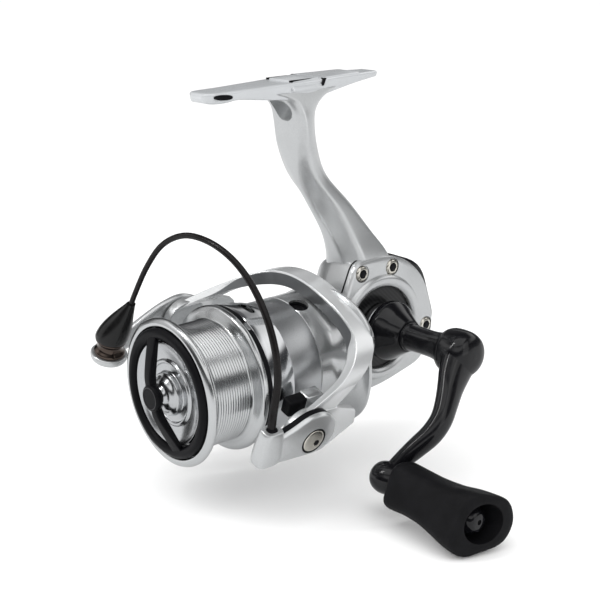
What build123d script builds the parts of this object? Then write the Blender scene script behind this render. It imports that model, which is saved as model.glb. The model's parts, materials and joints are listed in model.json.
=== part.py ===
from build123d import *
import math
import os

# Spinning reel, front drag, handle on the +X side. Millimetres.
# The reel is drawn about its spool axis: Y runs along the spool from front to back, Z points
# up to the foot, and Y = 0 is the front plane of the drag knob ring. Every piece is moved at
# the end so that the origin is the middle of the foot's seat.

# ---------------------------------------------------------------- driving dimensions
SEAT_Y = 60.0             # middle of the foot's flat seat
SEAT_Z = 84.4             # height of the seat above the spool axis
FOOT_FRONT = 14.9
FOOT_BACK = 81.7
FOOT_HALF_WIDTH = 7.2

CRANK_Y = 75.1            # handle axis
CRANK_Z = 5.05

CASE_OUT_X = -11.5        # closed side of the gearbox
CASE_OPEN_X = 7.0         # side where the cover sits
CASE_WALL = 2.0
COVER_FACE_X = 9.6

LIP_R = 22.0
BARREL_R = 18.0
SKIRT_R = 20.2
SKIRT_WALL = 0.6
SKIRT_BACK = 31.2
FLANGE_R = 21.8

SHAFT_R = 1.9             # main shaft
PINION_R = 3.1
RUNNING_GAP = 0.08

ROTOR_R = 19.2
ROTOR_TURN = 20.0         # clocking of the rotor about the spool axis
ARM_A = 31.4              # outer half width of the rotor arms, along the bail axis
ARM_B = 24.6              # outer half height of the rotor, across the bail axis
ARM_THICK = 2.1
BAIL_Y = 27.0             # bail hinge axis

WIRE_R = 0.95
ROLLER_A = -31.4
ROLLER_Y = 1.7

GEAR_TEETH = 52
PINION_TEETH = 10
STEP_GEAR_TEETH = 12
CAM_GEAR_TEETH = 20
CAM_Y = 86.0              # oscillation gear axis
CAM_Z = -1.4

ARM_LENGTH = 42.6         # handle axis to knob axis
ARM_FALL = 46.0           # degrees that the handle arm points below forward
KNOB_X = 43.0             # ball end of the handle arm
BALL_R = 4.9


# ---------------------------------------------------------------- helpers
def rod_x(radius, x0, x1, y=0.0, z=0.0):
    return Pos((x0 + x1) / 2, y, z) * Rot(0, 90, 0) * Cylinder(radius, x1 - x0)


def rod_y(radius, y0, y1, x=0.0, z=0.0):
    return Pos(x, (y0 + y1) / 2, z) * Rot(90, 0, 0) * Cylinder(radius, y1 - y0)


def rod_z(radius, z0, z1, x=0.0, y=0.0):
    return Pos(x, y, (z0 + z1) / 2) * Cylinder(radius, z1 - z0)


def ring_x(outer, inner, x0, x1, y=0.0, z=0.0):
    return rod_x(outer, x0, x1, y, z) - rod_x(inner, x0 - 1, x1 + 1, y, z)


def ring_y(outer, inner, y0, y1, x=0.0, z=0.0):
    return rod_y(outer, y0, y1, x, z) - rod_y(inner, y0 - 1, y1 + 1, x, z)


def block(x0, x1, y0, y1, z0, z1):
    return Pos((x0 + x1) / 2, (y0 + y1) / 2, (z0 + z1) / 2) * Box(x1 - x0, y1 - y0, z1 - z0)


def turned_y(points):
    """A lathe part about the Y axis from (radius, y) points."""
    return revolve(make_face(Polyline(*points, close=True)), Axis.Y)


def turned_x(points, y, z):
    """A lathe part about an X line through y, z from (radius, x) points."""
    outline = [(x, radius) for radius, x in points]
    return Pos(0, y, z) * revolve(make_face(Polyline(*outline, close=True)), Axis.X)


def side_face(points, radius=0.0):
    """A face in the YZ plane from (y, z) points, with its corners rounded."""
    face = make_face(Plane.YZ * Polyline(*points, close=True))
    if radius:
        face = fillet(face.vertices(), radius)
    return face


def side_plate(points, x0, x1, radius=0.0):
    """A plate between x0 and x1 with a (y, z) outline."""
    return Pos(x0, 0, 0) * extrude(side_face(points, radius), x1 - x0, dir=(1, 0, 0))


def toothed(core, teeth, make_tooth, axis):
    """A wheel with teeth spread evenly round it."""
    wheel = core
    for index in range(teeth):
        wheel += make_tooth.rotate(axis, 360.0 * index / teeth)
    return wheel


def torx_screw(head_r, head, shank_r, shank):
    """A screw along +X whose head's outer face is at x = 0."""
    body = rod_x(head_r, -head, 0) + rod_x(shank_r, -head - shank, -head)
    body -= rod_x(head_r * 0.35, -head * 0.6, 1)
    for index in range(6):
        lobe = rod_x(head_r * 0.16, -head * 0.6, 1, head_r * 0.42, 0)
        body -= lobe.rotate(Axis.X, 60 * index)
    return body


def in_rotor(shape):
    """Turn a piece drawn with the bail hinge along X to the rotor's own clocking."""
    return shape.rotate(Axis.Y, ROTOR_TURN)


# ---------------------------------------------------------------- foot, stem and gearbox
CASE_OUTLINE = [
    (63.6, 27.6), (80.0, 27.6), (93.0, 18.5), (98.6, 2.0),
    (94.0, -9.0), (74.0, -14.5), (58.6, -14.5), (58.6, 17.0),
]
CASE_CORNER = 2.6


def case_block(x0, x1, inset=0.0):
    face = side_face(CASE_OUTLINE, CASE_CORNER)
    if inset:
        face = offset(face, -inset)
    return Pos(x0, 0, 0) * extrude(face, x1 - x0, dir=(1, 0, 0))


# Stem sections from the gearbox to the foot: height, then front, widest, rear and back
# corners as (half width, y).
STEM_SECTIONS = [
    (20.0, (5.0, 62.0), (9.0, 65.0), (9.0, 80.5), (5.0, 84.0)),
    (28.0, (3.6, 63.5), (8.8, 66.5), (8.6, 79.6), (3.6, 82.5)),
    (36.0, (2.4, 63.0), (7.6, 67.0), (6.2, 73.8), (2.8, 76.4)),
    (45.0, (1.6, 55.6), (7.0, 60.2), (5.2, 66.2), (2.4, 69.2)),
    (55.0, (1.8, 50.2), (7.0, 51.6), (5.6, 55.6), (2.4, 60.0)),
    (64.0, (3.2, 47.8), (7.5, 49.2), (6.6, 51.6), (2.8, 56.6)),
    (74.0, (4.0, 47.0), (7.6, 48.6), (6.8, 51.4), (3.0, 56.4)),
    (81.5, (4.4, 43.6), (7.0, 46.2), (7.0, 57.0), (3.6, 62.5)),
]


def stem():
    faces = []
    for height, front, widest, rear, back in STEM_SECTIONS:
        right = [front, widest, rear, back]
        left = [(-x, y) for x, y in reversed(right)]
        faces.append(make_face(Pos(0, 0, height) * Polyline(*(right + left), close=True)))
    return loft(faces)


def foot():
    plan = [
        (-4.2, FOOT_FRONT + 0.6), (-2.6, FOOT_FRONT), (2.6, FOOT_FRONT), (4.2, FOOT_FRONT + 0.6),
        (5.4, 19.0), (6.6, 42.0), (FOOT_HALF_WIDTH, 45.0), (FOOT_HALF_WIDTH, 57.0),
        (6.6, 60.0), (3.4, 80.8), (2.6, FOOT_BACK), (-2.6, FOOT_BACK), (-3.4, 80.8),
        (-6.6, 60.0), (-FOOT_HALF_WIDTH, 57.0), (-FOOT_HALF_WIDTH, 45.0), (-6.6, 42.0),
        (-5.4, 19.0),
    ]
    blank = extrude(make_face(Pos(0, 0, 78) * Polyline(*plan, close=True)), 10)
    side = [
        (FOOT_FRONT - 1, 81.7), (FOOT_FRONT - 1, 82.9), (42.0, SEAT_Z), (74.0, SEAT_Z),
        (FOOT_BACK + 1, 83.7), (FOOT_BACK + 1, 82.4), (60.0, 80.4), (42.0, 80.1), (22.0, 81.2),
    ]
    plate = blank & side_plate(side, -12, 12)
    for sign in (-1, 1):
        plate -= block(sign * 7.0 - 0.8, sign * 7.0 + 0.8, 56.2, 57.4, 82.4, 85.4)
    return plate


def body_frame():
    outer = case_block(CASE_OUT_X, CASE_OPEN_X)
    outer = fillet(outer.faces().sort_by(Axis.X)[0].edges(), 2.2)
    slope = Plane((CASE_OUT_X, 80, 12.0), x_dir=(0, 1, 0), z_dir=(-0.8, 0, 0.6))
    outer -= slope * Pos(0, 0, 10) * Box(90, 60, 20)
    outer = fillet(outer.faces().filter_by(lambda f: f.normal_at().Z > 0.5 and
                                           f.normal_at().X < -0.7).edges(), 1.0)
    frame = outer + stem() + foot()
    frame += rod_y(17.8, 57.2, 60.6)
    frame += rod_y(13.5, 46.5, 57.4)
    frame -= case_block(CASE_OUT_X + CASE_WALL, CASE_OPEN_X + 5, CASE_WALL) & block(
        -20, CASE_OPEN_X + 5, 50, 110, -20, 25.6)
    frame -= block(CASE_OPEN_X, 30, 50, 110, -30, 27.75)
    frame -= rod_y(11.5, 40, 57.4)
    frame -= rod_y(6.5, 57, 62)
    # rib that carries the rear pinion bearing and the guide rods
    rib = block(-4.2, 6.6, 66.2, 68.4, -13.2, 0.0) + rod_y(6.0, 66.2, 68.4)
    rib -= block(-9, -4.2, 60, 70, -20, 10)
    rib -= rod_y(4.52, 60, 70)
    frame += rib
    # seat and hole for the drive shaft's far bearing
    frame += rod_x(6.5, CASE_OUT_X, -8.7, CRANK_Y, CRANK_Z)
    frame -= rod_x(5.0, -10.9, 0, CRANK_Y, CRANK_Z) & block(-10.9, -8.7, 60, 90, -5, 15)
    frame -= rod_x(3.0, -20, 0, CRANK_Y, CRANK_Z) & block(-20, -8.7, 60, 90, -5, 15)
    for y, z in SCREW_PLACES:
        frame += rod_x(2.4, 2.2, CASE_OPEN_X, y, z)
        frame -= rod_x(0.9, 2.6, CASE_OPEN_X + 1, y, z)
    for x, z, end in GUIDE_PLACES:
        frame -= rod_y(0.97, 66.0, end + 0.05, x, z)
    return frame


SCREW_PLACES = [(67.6, 23.8), (80.2, 23.6), (94.2, 1.6)]


# ---------------------------------------------------------------- side cover and guards
RING_R = 16.9
PLATE_R = 13.3


REAR_SCREW_PLACE = Pos(-1.5, 97.0, 10.65) * Rot(18.7, 0, 0) * Rot(0, 0, 90)


def side_cover():
    cover = case_block(CASE_OPEN_X + 0.05, COVER_FACE_X)
    cover = fillet(cover.faces().sort_by(Axis.X)[-1].edges(), 1.3)
    cover += ring_x(RING_R - 0.5, PLATE_R, COVER_FACE_X - 1, COVER_FACE_X + 1.3, CRANK_Y, CRANK_Z)
    cover -= ring_x(RING_R, RING_R - 0.45, COVER_FACE_X - 0.4, COVER_FACE_X + 2, CRANK_Y, CRANK_Z)
    cover -= rod_x(PLATE_R, COVER_FACE_X - 1.4, 20, CRANK_Y, CRANK_Z)
    cover -= rod_x(6.0, 0, 20, CRANK_Y, CRANK_Z)
    for y, z in SCREW_PLACES:
        cover -= rod_x(2.15, COVER_FACE_X - 1.1, 20, y, z)
        cover -= rod_x(1.1, 0, 20, y, z)
    return cover


def bearing_plate():
    plate = ring_x(PLATE_R - 0.05, 6.2, COVER_FACE_X - 1.35, COVER_FACE_X - 0.5, CRANK_Y, CRANK_Z)
    for index in range(3):
        notch = rod_x(0.9, 0, 20, 11.2, 0).rotate(Axis.X, 90 + 120 * index)
        plate -= Pos(0, CRANK_Y, CRANK_Z) * notch
    return plate


def rear_cover():
    band = case_block(-8.5, 5.8, -1.4) - case_block(-9, 8, -0.02)
    window = side_face([(84.6, 24.9), (101.0, 24.9), (101.0, -4.0), (92.0, -4.0), (92.0, 10.0)])
    band &= Pos(-9, 0, 0) * extrude(window, 16, dir=(1, 0, 0))
    return band - REAR_SCREW_PLACE * rod_x(1.5, -5, 5)


def rear_cover_screw():
    return REAR_SCREW_PLACE * torx_screw(1.48, 0.7, 0.7, 0.55)


def case_screws():
    return [Pos(COVER_FACE_X - 0.1, y, z) * torx_screw(2.0, 0.95, 0.85, 5.5) for y, z in SCREW_PLACES]


def handle_cap():
    return turned_x([(0, -14.0), (4.6, -14.0), (6.0, -13.2), (6.0, -11.55), (2.9, -11.55),
                     (2.9, -11.1), (0, -11.1)], CRANK_Y, CRANK_Z)


# ---------------------------------------------------------------- bearings and clutch
def drive_gear_bearings():
    return [ring_x(4.95, 2.72, -10.8, -8.9, CRANK_Y, CRANK_Z),
            ring_x(5.95, 2.72, CASE_OPEN_X - 0.2, CASE_OPEN_X + 1.2, CRANK_Y, CRANK_Z)]


def pinion_bearings():
    return [ring_y(6.48, PINION_R + 0.03, 57.5, 60.4), ring_y(4.5, PINION_R + 0.03, 66.3, 68.3)]


def bearing_retainer():
    plate = ring_y(13.4, 7.6, 45.1, 46.45)
    for index in range(3):
        plate -= rod_y(0.7, 40, 50, 12.4, 0).rotate(Axis.Y, 120 * index)
    return plate


def clutch_housing():
    return ring_y(11.45, 9.1, 46.6, 57.2)


def clutch_rollers():
    return [rod_y(1.0, 47.2, 56.6, 8.05, 0).rotate(Axis.Y, 45 * index) for index in range(8)]


def clutch_sleeve():
    return ring_y(6.95, PINION_R + 0.01, 45.2, 57.2)


# Guide rods below the main shaft: x, z and the y where each ends in the rear wall.
GUIDE_PLACES = [(1.2, -6.4, 94.0), (4.6, -3.4, 95.2)]


def guide_rods():
    return [rod_y(0.95, 66.3, end, x, z) for x, z, end in GUIDE_PLACES]


# ---------------------------------------------------------------- drive train
def drive_gear():
    wheel = ring_x(14.2, 2.75, -8.2, -6.4)
    wheel += ring_x(10.4, 2.75, -6.5, -6.0)
    wheel += ring_x(3.9, 2.75, -6.5, -3.3)
    tooth = block(-6.5, -4.6, -0.28, 0.28, 10.9, 14.0)
    wheel = toothed(wheel, GEAR_TEETH, tooth, Axis.X)
    step = block(-4.3, -3.3, -0.45, 0.45, 3.6, 4.9)
    wheel = toothed(wheel, STEP_GEAR_TEETH, step, Axis.X)
    return Pos(0, CRANK_Y, CRANK_Z) * wheel


def drive_gear_shaft():
    return rod_x(2.7, -11.0, 22.0, CRANK_Y, CRANK_Z)


def oscillation_gear():
    wheel = rod_x(6.6, -4.25, -3.2)
    tooth = block(-4.25, -3.2, -0.4, 0.4, 6.4, 7.3)
    wheel = toothed(wheel, CAM_GEAR_TEETH, tooth, Axis.X)
    wheel += rod_x(0.9, -3.3, -2.55, 0, 5.0)
    wheel += rod_x(1.5, -4.25, -2.9)
    return Pos(0, CAM_Y, CAM_Z) * wheel


def slider_block():
    carriage = block(-2.4, 6.2, 76.8, 81.2, -7.9, 2.3)
    carriage -= block(-3, -1.9, 78.2, 80.4, -8.9, 3)
    carriage -= rod_y(SHAFT_R, 70, 90)
    for x, z, _ in GUIDE_PLACES:
        carriage -= rod_y(1.02, 70, 90, x, z)
    return carriage


def main_shaft():
    return rod_y(SHAFT_R, 2.4, 82.4)


def spool_sleeve():
    return turned_y([(SHAFT_R, 11.3), (2.52, 11.3), (2.52, 17.1), (4.4, 17.1), (4.4, 17.7),
                     (SHAFT_R, 17.7)])


def pinion_gear():
    tube = ring_y(PINION_R, SHAFT_R + RUNNING_GAP, 28.4, 68.4)
    core = ring_y(3.4, SHAFT_R + RUNNING_GAP, 61.4, 66.0)
    tooth = block(3.2, 4.2, 61.4, 66.0, -0.45, 0.45)
    return tube + toothed(core, PINION_TEETH, tooth, Axis.Y)


# ---------------------------------------------------------------- rotor
def arm_profile():
    """Side outline of the rotor arms across the bail hinge: an arch with an open window."""
    outer = Spline((49.0, 30.0), (48.6, 25.0), (47.2, 20.0), (40.6, 14.0), (30.5, 9.0),
                   (22.6, 5.2), (20.4, 0.0), (22.6, -5.2), (30.5, -9.0), (40.6, -14.0),
                   (47.2, -20.0), (48.6, -25.0), (49.0, -30.0))
    inner = Spline((55.6, -30.0), (55.4, -24.0), (53.8, -19.7), (49.8, -15.2), (43.4, -10.6),
                   (36.8, -5.6), (35.2, 0.0), (36.8, 5.6), (43.4, 10.6), (49.8, 15.2),
                   (53.8, 19.7), (55.4, 24.0), (55.6, 30.0))
    closing = [Line(outer @ 1, inner @ 0), Line(inner @ 1, outer @ 0)]
    return Plane.YZ * make_face([outer, inner] + closing)


def rotor_plan(inset):
    """The rotor seen along the spool axis: squarer round the bail holder's arm."""
    points = []
    for index in range(48):
        angle = math.radians(7.5 * index)
        power = 2 / 2.8 if math.cos(angle) > 0 else 1.0
        across = math.copysign(abs(math.cos(angle)) ** power, math.cos(angle))
        height = math.copysign(abs(math.sin(angle)) ** power, math.sin(angle))
        points.append(((ARM_A - inset) * across, (ARM_B - inset) * height))
    return Plane.XZ * make_face(Spline(*points, periodic=True))


def rotor_arms():
    """One hoop from arm to arm over the top, and a plate below each hinge."""
    tube = Pos(0, 18, 0) * extrude(rotor_plan(0) - rotor_plan(ARM_THICK), 40, dir=(0, 1, 0))
    arch = Pos(-40, 0, 0) * extrude(arm_profile(), 80, dir=(1, 0, 0))
    root = Polyline((20.6, 0.4), (22.6, -5.2), (27.0, -8.2), (34.7, -9.2), (46.3, -2.6),
                    (45.5, 2.9), (37.2, 6.0), (33.0, 2.0), close=True)
    plate = Pos(-40, 0, 0) * extrude(Plane.YZ * make_face(root), 80, dir=(1, 0, 0))
    arms = tube & ((arch & block(-40, 40, 10, 60, 0, 40)) + plate)
    strut = Polyline((31.2, 43.0), (31.2, 46.2), (25.6, 54.6), (21.0, 53.4), (24.0, 49.5),
                     (29.4, 43.4), close=True)
    strut = Pos(0, 0, -2.4) * extrude(make_face(strut), 5.0, dir=(0, 0, 1))
    arms += (strut + strut.mirror(Plane.YZ)) - rod_y(23.7, 40, 50.5)
    for sign in (-1, 1):
        arms += rod_x(6.4, sign * (ARM_A - 1.5) - 1.5, sign * (ARM_A - 1.5) + 1.5, BAIL_Y, 0)
    return arms


def rotor():
    cove = ThreePointArc((ROTOR_R, 43.2), (21.4, 49.0), (26.5, 53.0))
    cup = Polyline((26.5, 53.0), (36.0, 54.0), (36.0, 56.0), (26.5, 55.6), (20.2, 51.0),
                   (17.4, 45.6), (17.4, 33.6), (PINION_R + 0.02, 33.6), (PINION_R + 0.02, 31.2),
                   (17.4, 31.2), (17.4, 30.0), (18.3, 30.0), (18.3, 42.3), (ROTOR_R, 42.3),
                   (ROTOR_R, 43.2))
    shell = revolve(make_face([cove, *cup.edges()]), Axis.Y)
    quarter = rod_y(40.0, 20, 60) & block(-1.0, 40, 20, 60, 10.4, 40)
    flare = Pos(0, 20, 0) * extrude(rotor_plan(0), 40, dir=(0, 1, 0)) & quarter
    shell &= flare + rod_y(ARM_B - 0.5, 20, 60)
    shell -= block(-40, -3.0, 43.4, 60, 9.0, 40) - rod_y(19.1, 40, 60)
    shell += rotor_arms()
    for sign in (-1, 1):
        shell -= rod_x(1.5, sign * 28 - 6, sign * 28 + 6, BAIL_Y, 0)
    shell += rod_x(1.6, 26.6, 29.6, 31.0, 5.4)
    shell -= rod_z(2.3, 18.0, 32.0, 0, 46.6).rotate(Axis.Y, 4.0)
    shell += ring_y(18.8, 17.0, 43.4, 49.0) & rod_z(3.0, 10.0, 30.0, 0, 46.6).rotate(Axis.Y, 4.0)
    return in_rotor(shell)


def rotor_ring():
    return in_rotor(ring_y(ROTOR_R, 18.32, 31.4, 42.25))


def rotor_nut():
    nut = Pos(0, 30.6, 0) * extrude(Plane.XZ * RegularPolygon(6.2, 6), 2.0, dir=(0, -1, 0))
    return in_rotor(nut - rod_y(PINION_R + 0.01, 20, 40) - rod_y(3.2, 20, 28.3))


def nut_retainer():
    plate = ring_y(9.6, 5.6, 30.65, 31.15) - rod_y(0.62, 20, 40, 7.9, 0)
    return in_rotor(plate)


def retainer_screw():
    return in_rotor(rod_y(1.5, 29.9, 30.62, 7.9, 0) + rod_y(0.6, 29.9, 31.1, 7.9, 0))


def balance_screw():
    screw = rod_z(1.45, 18.9, 20.0, 0, 46.6) - block(-1.2, 1.2, 46.4, 46.8, 19.6, 22)
    return in_rotor(screw.rotate(Axis.Y, 4.0))


def bail_spring_cover():
    case = block(22.3, 26.6, 23.6, 35.4, 2.6, 8.2)
    case = fillet(case.edges().filter_by(Axis.Y), 0.9)
    case -= rod_y(1.7, 24.6, 34.6, 24.5, 5.4)
    return in_rotor(case)


def spring_rod():
    return in_rotor(rod_y(0.7, 24.65, 34.55, 24.5, 5.4))


def bail_spring():
    path = Helix(pitch=1.55, height=8.2, radius=1.25)
    wire = sweep(Plane(origin=path @ 0, z_dir=path % 0) * Circle(0.26), path=path, is_frenet=True)
    return in_rotor(Pos(24.5, 33.7, 5.4) * wire.rotate(Axis.X, 90))


def pivot_bolt(sign):
    bolt = rod_x(1.48, 27.4, 34.4, BAIL_Y, 0) + rod_x(3.6, 34.2, 35.2, BAIL_Y, 0)
    socket = Pos(34.5, BAIL_Y, 0) * extrude(Plane.YZ * RegularPolygon(0.95, 6), 2, dir=(1, 0, 0))
    bolt -= socket
    return in_rotor(bolt if sign > 0 else bolt.mirror(Plane.YZ))


# ---------------------------------------------------------------- bail
HOLDER_POST = (33.5, 11.6)        # near wire socket: distance along the hinge, y
CONE_TOP = (-28.4, 4.7, 12.0)     # where the wire leaves the line cone


def bail_holder():
    outline = Polyline((25.0, 8.6), (14.0, 4.6), (10.5, 3.6), (10.5, -3.4), (16.0, -4.0),
                       (27.0, -4.9), (31.4, -4.2))
    arc = ThreePointArc((31.4, -4.2), (34.4, 4.4), (25.0, 8.6))
    face = Plane.YZ * make_face([*outline.edges(), arc])
    plate = Pos(31.9, 0, 0) * extrude(face, 3.1, dir=(1, 0, 0))
    plate = fillet(plate.faces().sort_by(Axis.X)[-1].edges(), 0.9)
    plate -= rod_x(3.85, 34.0, 40, BAIL_Y, 0) + rod_x(1.55, 30, 36, BAIL_Y, 0)
    post = Pos(HOLDER_POST[0], HOLDER_POST[1], 1.6) * extrude(Ellipse(2.6, 3.7), 6.2, both=True)
    post = fillet(post.edges(), 1.0)
    return in_rotor(plate + post - rod_z(WIRE_R + 0.05, 2.6, 10, *HOLDER_POST))


def bail_lever():
    outline = Polyline((27.0, 6.6), (16.0, 3.6), (6.4, -1.8), (6.4, -9.2), (17.0, -6.4),
                       (27.0, -6.6))
    arc = ThreePointArc((27.0, -6.6), (33.6, 0.0), (27.0, 6.6))
    face = Plane.YZ * make_face([*outline.edges(), arc])
    plate = Pos(-34.6, 0, 0) * extrude(face, 2.7, dir=(1, 0, 0))
    plate -= rod_x(3.85, -40, -34.0, BAIL_Y, 0) + rod_x(1.55, -36, -30, BAIL_Y, 0)
    cup = rod_z(5.5, -9.4, -6.9, ROLLER_A, ROLLER_Y)
    neck = block(-34.6, -31.9, 4.0, 9.0, -9.2, -6.9)
    return in_rotor(plate + cup + neck - rod_z(1.22, -20, 0, ROLLER_A, ROLLER_Y))


def roller_screw():
    screw = rod_z(1.2, -9.2, 1.2, ROLLER_A, ROLLER_Y) + rod_z(2.4, -10.1, -9.4, ROLLER_A, ROLLER_Y)
    return in_rotor(screw)


def line_roller():
    outline = [(2.62, -6.7), (4.7, -6.7), (4.7, -6.0), (4.0, -5.0), (3.8, -4.2), (4.0, -3.4),
               (4.7, -2.4), (4.7, -1.9), (2.62, -1.9)]
    wheel = revolve(make_face(Plane.XZ * Polyline(*outline, close=True)), Axis.Z)
    return in_rotor(Pos(ROLLER_A, ROLLER_Y, 0) * wheel)


def roller_bearing():
    return in_rotor(rod_z(2.6, -6.6, -2.0, ROLLER_A, ROLLER_Y)
                    - rod_z(1.24, -8, 0, ROLLER_A, ROLLER_Y))


def line_cone():
    base = make_face(Pos(ROLLER_A, ROLLER_Y, -1.7) * Edge.make_circle(4.85))
    middle = make_face(Pos(ROLLER_A + 0.7, ROLLER_Y + 0.8, 2.2) * Edge.make_circle(4.5))
    upper = make_face(Pos(ROLLER_A + 1.9, ROLLER_Y + 2.0, 7.4) * Edge.make_circle(2.9))
    tip = make_face(Pos(*CONE_TOP) * Edge.make_circle(1.5))
    cone = loft([base, middle, upper, tip])
    return in_rotor(cone - rod_z(1.22, -3, 1.3, ROLLER_A, ROLLER_Y))


def bail_wire():
    start = Vector(CONE_TOP[0], CONE_TOP[1], CONE_TOP[2] + 0.4)
    finish = Vector(HOLDER_POST[0], HOLDER_POST[1], 2.7)

    def on_plane(across, height):
        return Vector(across, 7.5 + 0.143 * across + 0.105 * height, height)

    corners = [start, on_plane(-22.5, 44.5), on_plane(10.0, 46.5), on_plane(31.0, 27.5),
               Vector(finish.X, finish.Y, 10.4), finish]
    path = FilletPolyline(*corners, radius=[13.0, 27.0, 20.0, 4.0])
    return in_rotor(sweep(Plane(origin=path @ 0, z_dir=path % 0) * Circle(WIRE_R), path=path))


# ---------------------------------------------------------------- spool and drag
def spool():
    inner_r = SKIRT_R - SKIRT_WALL
    body = turned_y([
        (2.6, 11.2), (12.0, 11.2), (12.0, 3.2), (19.45, 3.2), (19.45, 0.6), (20.3, 0.4),
        (LIP_R - 0.3, 1.3), (LIP_R, 1.8), (LIP_R - 0.2, 2.5), (20.4, 3.6), (BARREL_R + 0.3, 4.6),
        (BARREL_R - 0.1, 17.9), (21.2, 18.5), (FLANGE_R, 19.1), (FLANGE_R, 20.6), (19.9, 20.8),
        (19.9, 22.2), (SKIRT_R, 22.4), (SKIRT_R, SKIRT_BACK), (inner_r, SKIRT_BACK),
        (inner_r, 22.0), (18.4, 20.2), (16.3, 19.6), (16.3, 6.2), (14.0, 6.2), (14.0, 13.2),
        (5.0, 13.2), (5.0, 17.0), (2.6, 17.0),
    ])
    for angle in (76, 100, 256, 280):
        slot = block(-3.2, 3.2, 25.6, 28.6, 18.6, 24.0)
        slot = fillet(slot.edges().filter_by(Axis.Z), 1.45)
        body -= slot.rotate(Axis.Y, 90 - angle)
    return body


def line_clip():
    tab = block(-1.6, 1.6, 20.85, 22.15, 19.95, 21.7)
    return fillet(tab.edges().filter_by(Axis.Y), 0.4).rotate(Axis.Y, 90 - 58)


def drag_washers():
    return [ring_y(11.8, 2.7, 4.8 + 1.26 * index, 6.0 + 1.26 * index) for index in range(5)]


def drag_retainer():
    return ring_y(11.95, 10.6, 4.0, 4.6)


def click_gear():
    wheel = ring_y(6.6, 5.02, 13.3, 14.6)
    tooth = block(-0.4, 0.4, 13.3, 14.6, 6.4, 7.4)
    return toothed(wheel, 20, tooth, Axis.Y)


def drag_knob():
    ring = turned_y([(15.4, 0.4), (16.2, -0.5), (18.2, -0.6), (19.2, 0.2), (19.2, 2.9), (15.4, 2.9)])
    spine = [(-4.2, -5.5), (-4.2, 5.5), (-2.2, 10.5), (-0.5, 16.4), (1.0, 16.4), (1.0, 15.6),
             (-0.2, 15.2), (-1.6, 7.0), (-1.6, -7.0), (-0.2, -15.2), (1.0, -15.6), (1.0, -16.4),
             (-0.5, -16.4), (-2.2, -10.5)]
    bar = side_plate(spine, -2.5, 2.5)
    hub = turned_y([(0, -4.2), (4.8, -4.2), (5.4, -3.6), (5.4, -1.4), (0, -1.4)])
    neck = rod_y(2.2, -1.6, 0.3)
    return (ring + bar + hub + neck).rotate(Axis.Y, 90 - 107)


def drag_dish():
    return turned_y([(0, 0.4), (3.0, 0.4), (3.4, 0.9), (3.4, 1.3), (6.0, 2.1), (6.6, 1.3), (8.2, 1.3),
                     (8.8, 2.0), (10.6, 1.2), (12.6, 1.2), (13.2, 0.6), (15.3, 0.2), (15.3, 2.9),
                     (2.4, 2.9), (2.4, 2.2), (0, 2.2)])


def drag_nut():
    nut = Pos(0, 4.6, 0) * extrude(Plane.XZ * RegularPolygon(3.6, 6), 1.3, dir=(0, -1, 0))
    return nut - rod_y(SHAFT_R + 0.05, 0, 10)


def drag_spring():
    return ring_y(9.8, 8.4, 3.05, 3.9)


# ---------------------------------------------------------------- handle and knob
ARM_DIRECTION = Vector(0, -math.cos(math.radians(ARM_FALL)), -math.sin(math.radians(ARM_FALL)))
KNOB_Y = CRANK_Y + ARM_LENGTH * ARM_DIRECTION.Y
KNOB_Z = CRANK_Z + ARM_LENGTH * ARM_DIRECTION.Z


def handle_collar():
    return turned_x([(2.75, 8.6), (5.9, 8.6), (5.9, 9.6), (8.0, 9.6), (8.0, 11.6), (9.4, 12.4),
                     (9.4, 15.6), (8.6, 16.6), (5.0, 22.4), (2.75, 22.4)], CRANK_Y, CRANK_Z)


def handle_shaft():
    return turned_x([(0, 22.5), (4.4, 22.5), (4.1, 26.0), (4.0, 33.0), (4.6, 37.9), (0, 37.9)],
                    CRANK_Y, CRANK_Z)


def handle_arm():
    hub = turned_x([(0, 38.0), (4.9, 38.0), (6.4, 39.4), (7.0, 41.6), (7.0, 44.8), (6.4, 47.0),
                    (4.6, 48.6), (0, 49.2)], CRANK_Y, CRANK_Z)
    plane = Plane(origin=(0, CRANK_Y, CRANK_Z), x_dir=(1, 0, 0),
                  z_dir=Vector(1, 0, 0).cross(ARM_DIRECTION))
    path = plane * FilletPolyline((44.6, 0), (51.0, 22.6), (KNOB_X, ARM_LENGTH), radius=14)
    section = Plane(origin=path @ 0, x_dir=plane.z_dir, z_dir=path % 0) * Ellipse(3.7, 2.6)
    arm = sweep(section, path=path)
    return hub + arm + Pos(KNOB_X, KNOB_Y, KNOB_Z) * Sphere(BALL_R)


def knob_post():
    return rod_x(1.8, KNOB_X + BALL_R + 0.02, 74.0, KNOB_Y, KNOB_Z)


def knob_bearings():
    return [ring_x(3.4, 1.84, x, x + 2.4, KNOB_Y, KNOB_Z) for x in (50.0, 69.0)]


# Grip sections along the knob: x, width, height, drop of the middle, corner radius.
GRIP_SECTIONS = [
    (49.2, 12.6, 11.6, 0.4, 3.6),
    (53.0, 13.6, 12.6, 0.2, 4.2),
    (60.0, 13.4, 12.2, 0.0, 4.2),
    (67.0, 16.4, 13.0, -0.6, 4.4),
    (74.0, 22.0, 15.4, -1.2, 5.6),
    (79.6, 22.4, 16.0, -1.2, 6.2),
]


def knob_grip():
    faces = []
    for x, width, height, drop, corner in GRIP_SECTIONS:
        plane = Plane(origin=(x, KNOB_Y, KNOB_Z), x_dir=(0, 1, 0), z_dir=(1, 0, 0))
        faces.append(plane * Pos(0, drop, 0) * RectangleRounded(width, height, corner))
    grip = loft(faces)
    grip = fillet(grip.faces().sort_by(Axis.X)[-1].edges(), 1.6)
    centred = Pos(0, -KNOB_Y, -KNOB_Z) * grip
    grip = Pos(0, KNOB_Y, KNOB_Z) * centred.rotate(Axis.X, 30)
    grip -= rod_x(3.45, 40, 74.5, KNOB_Y, KNOB_Z)
    return grip - rod_x(5.2, 74.4, 90, KNOB_Y, KNOB_Z)


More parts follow.
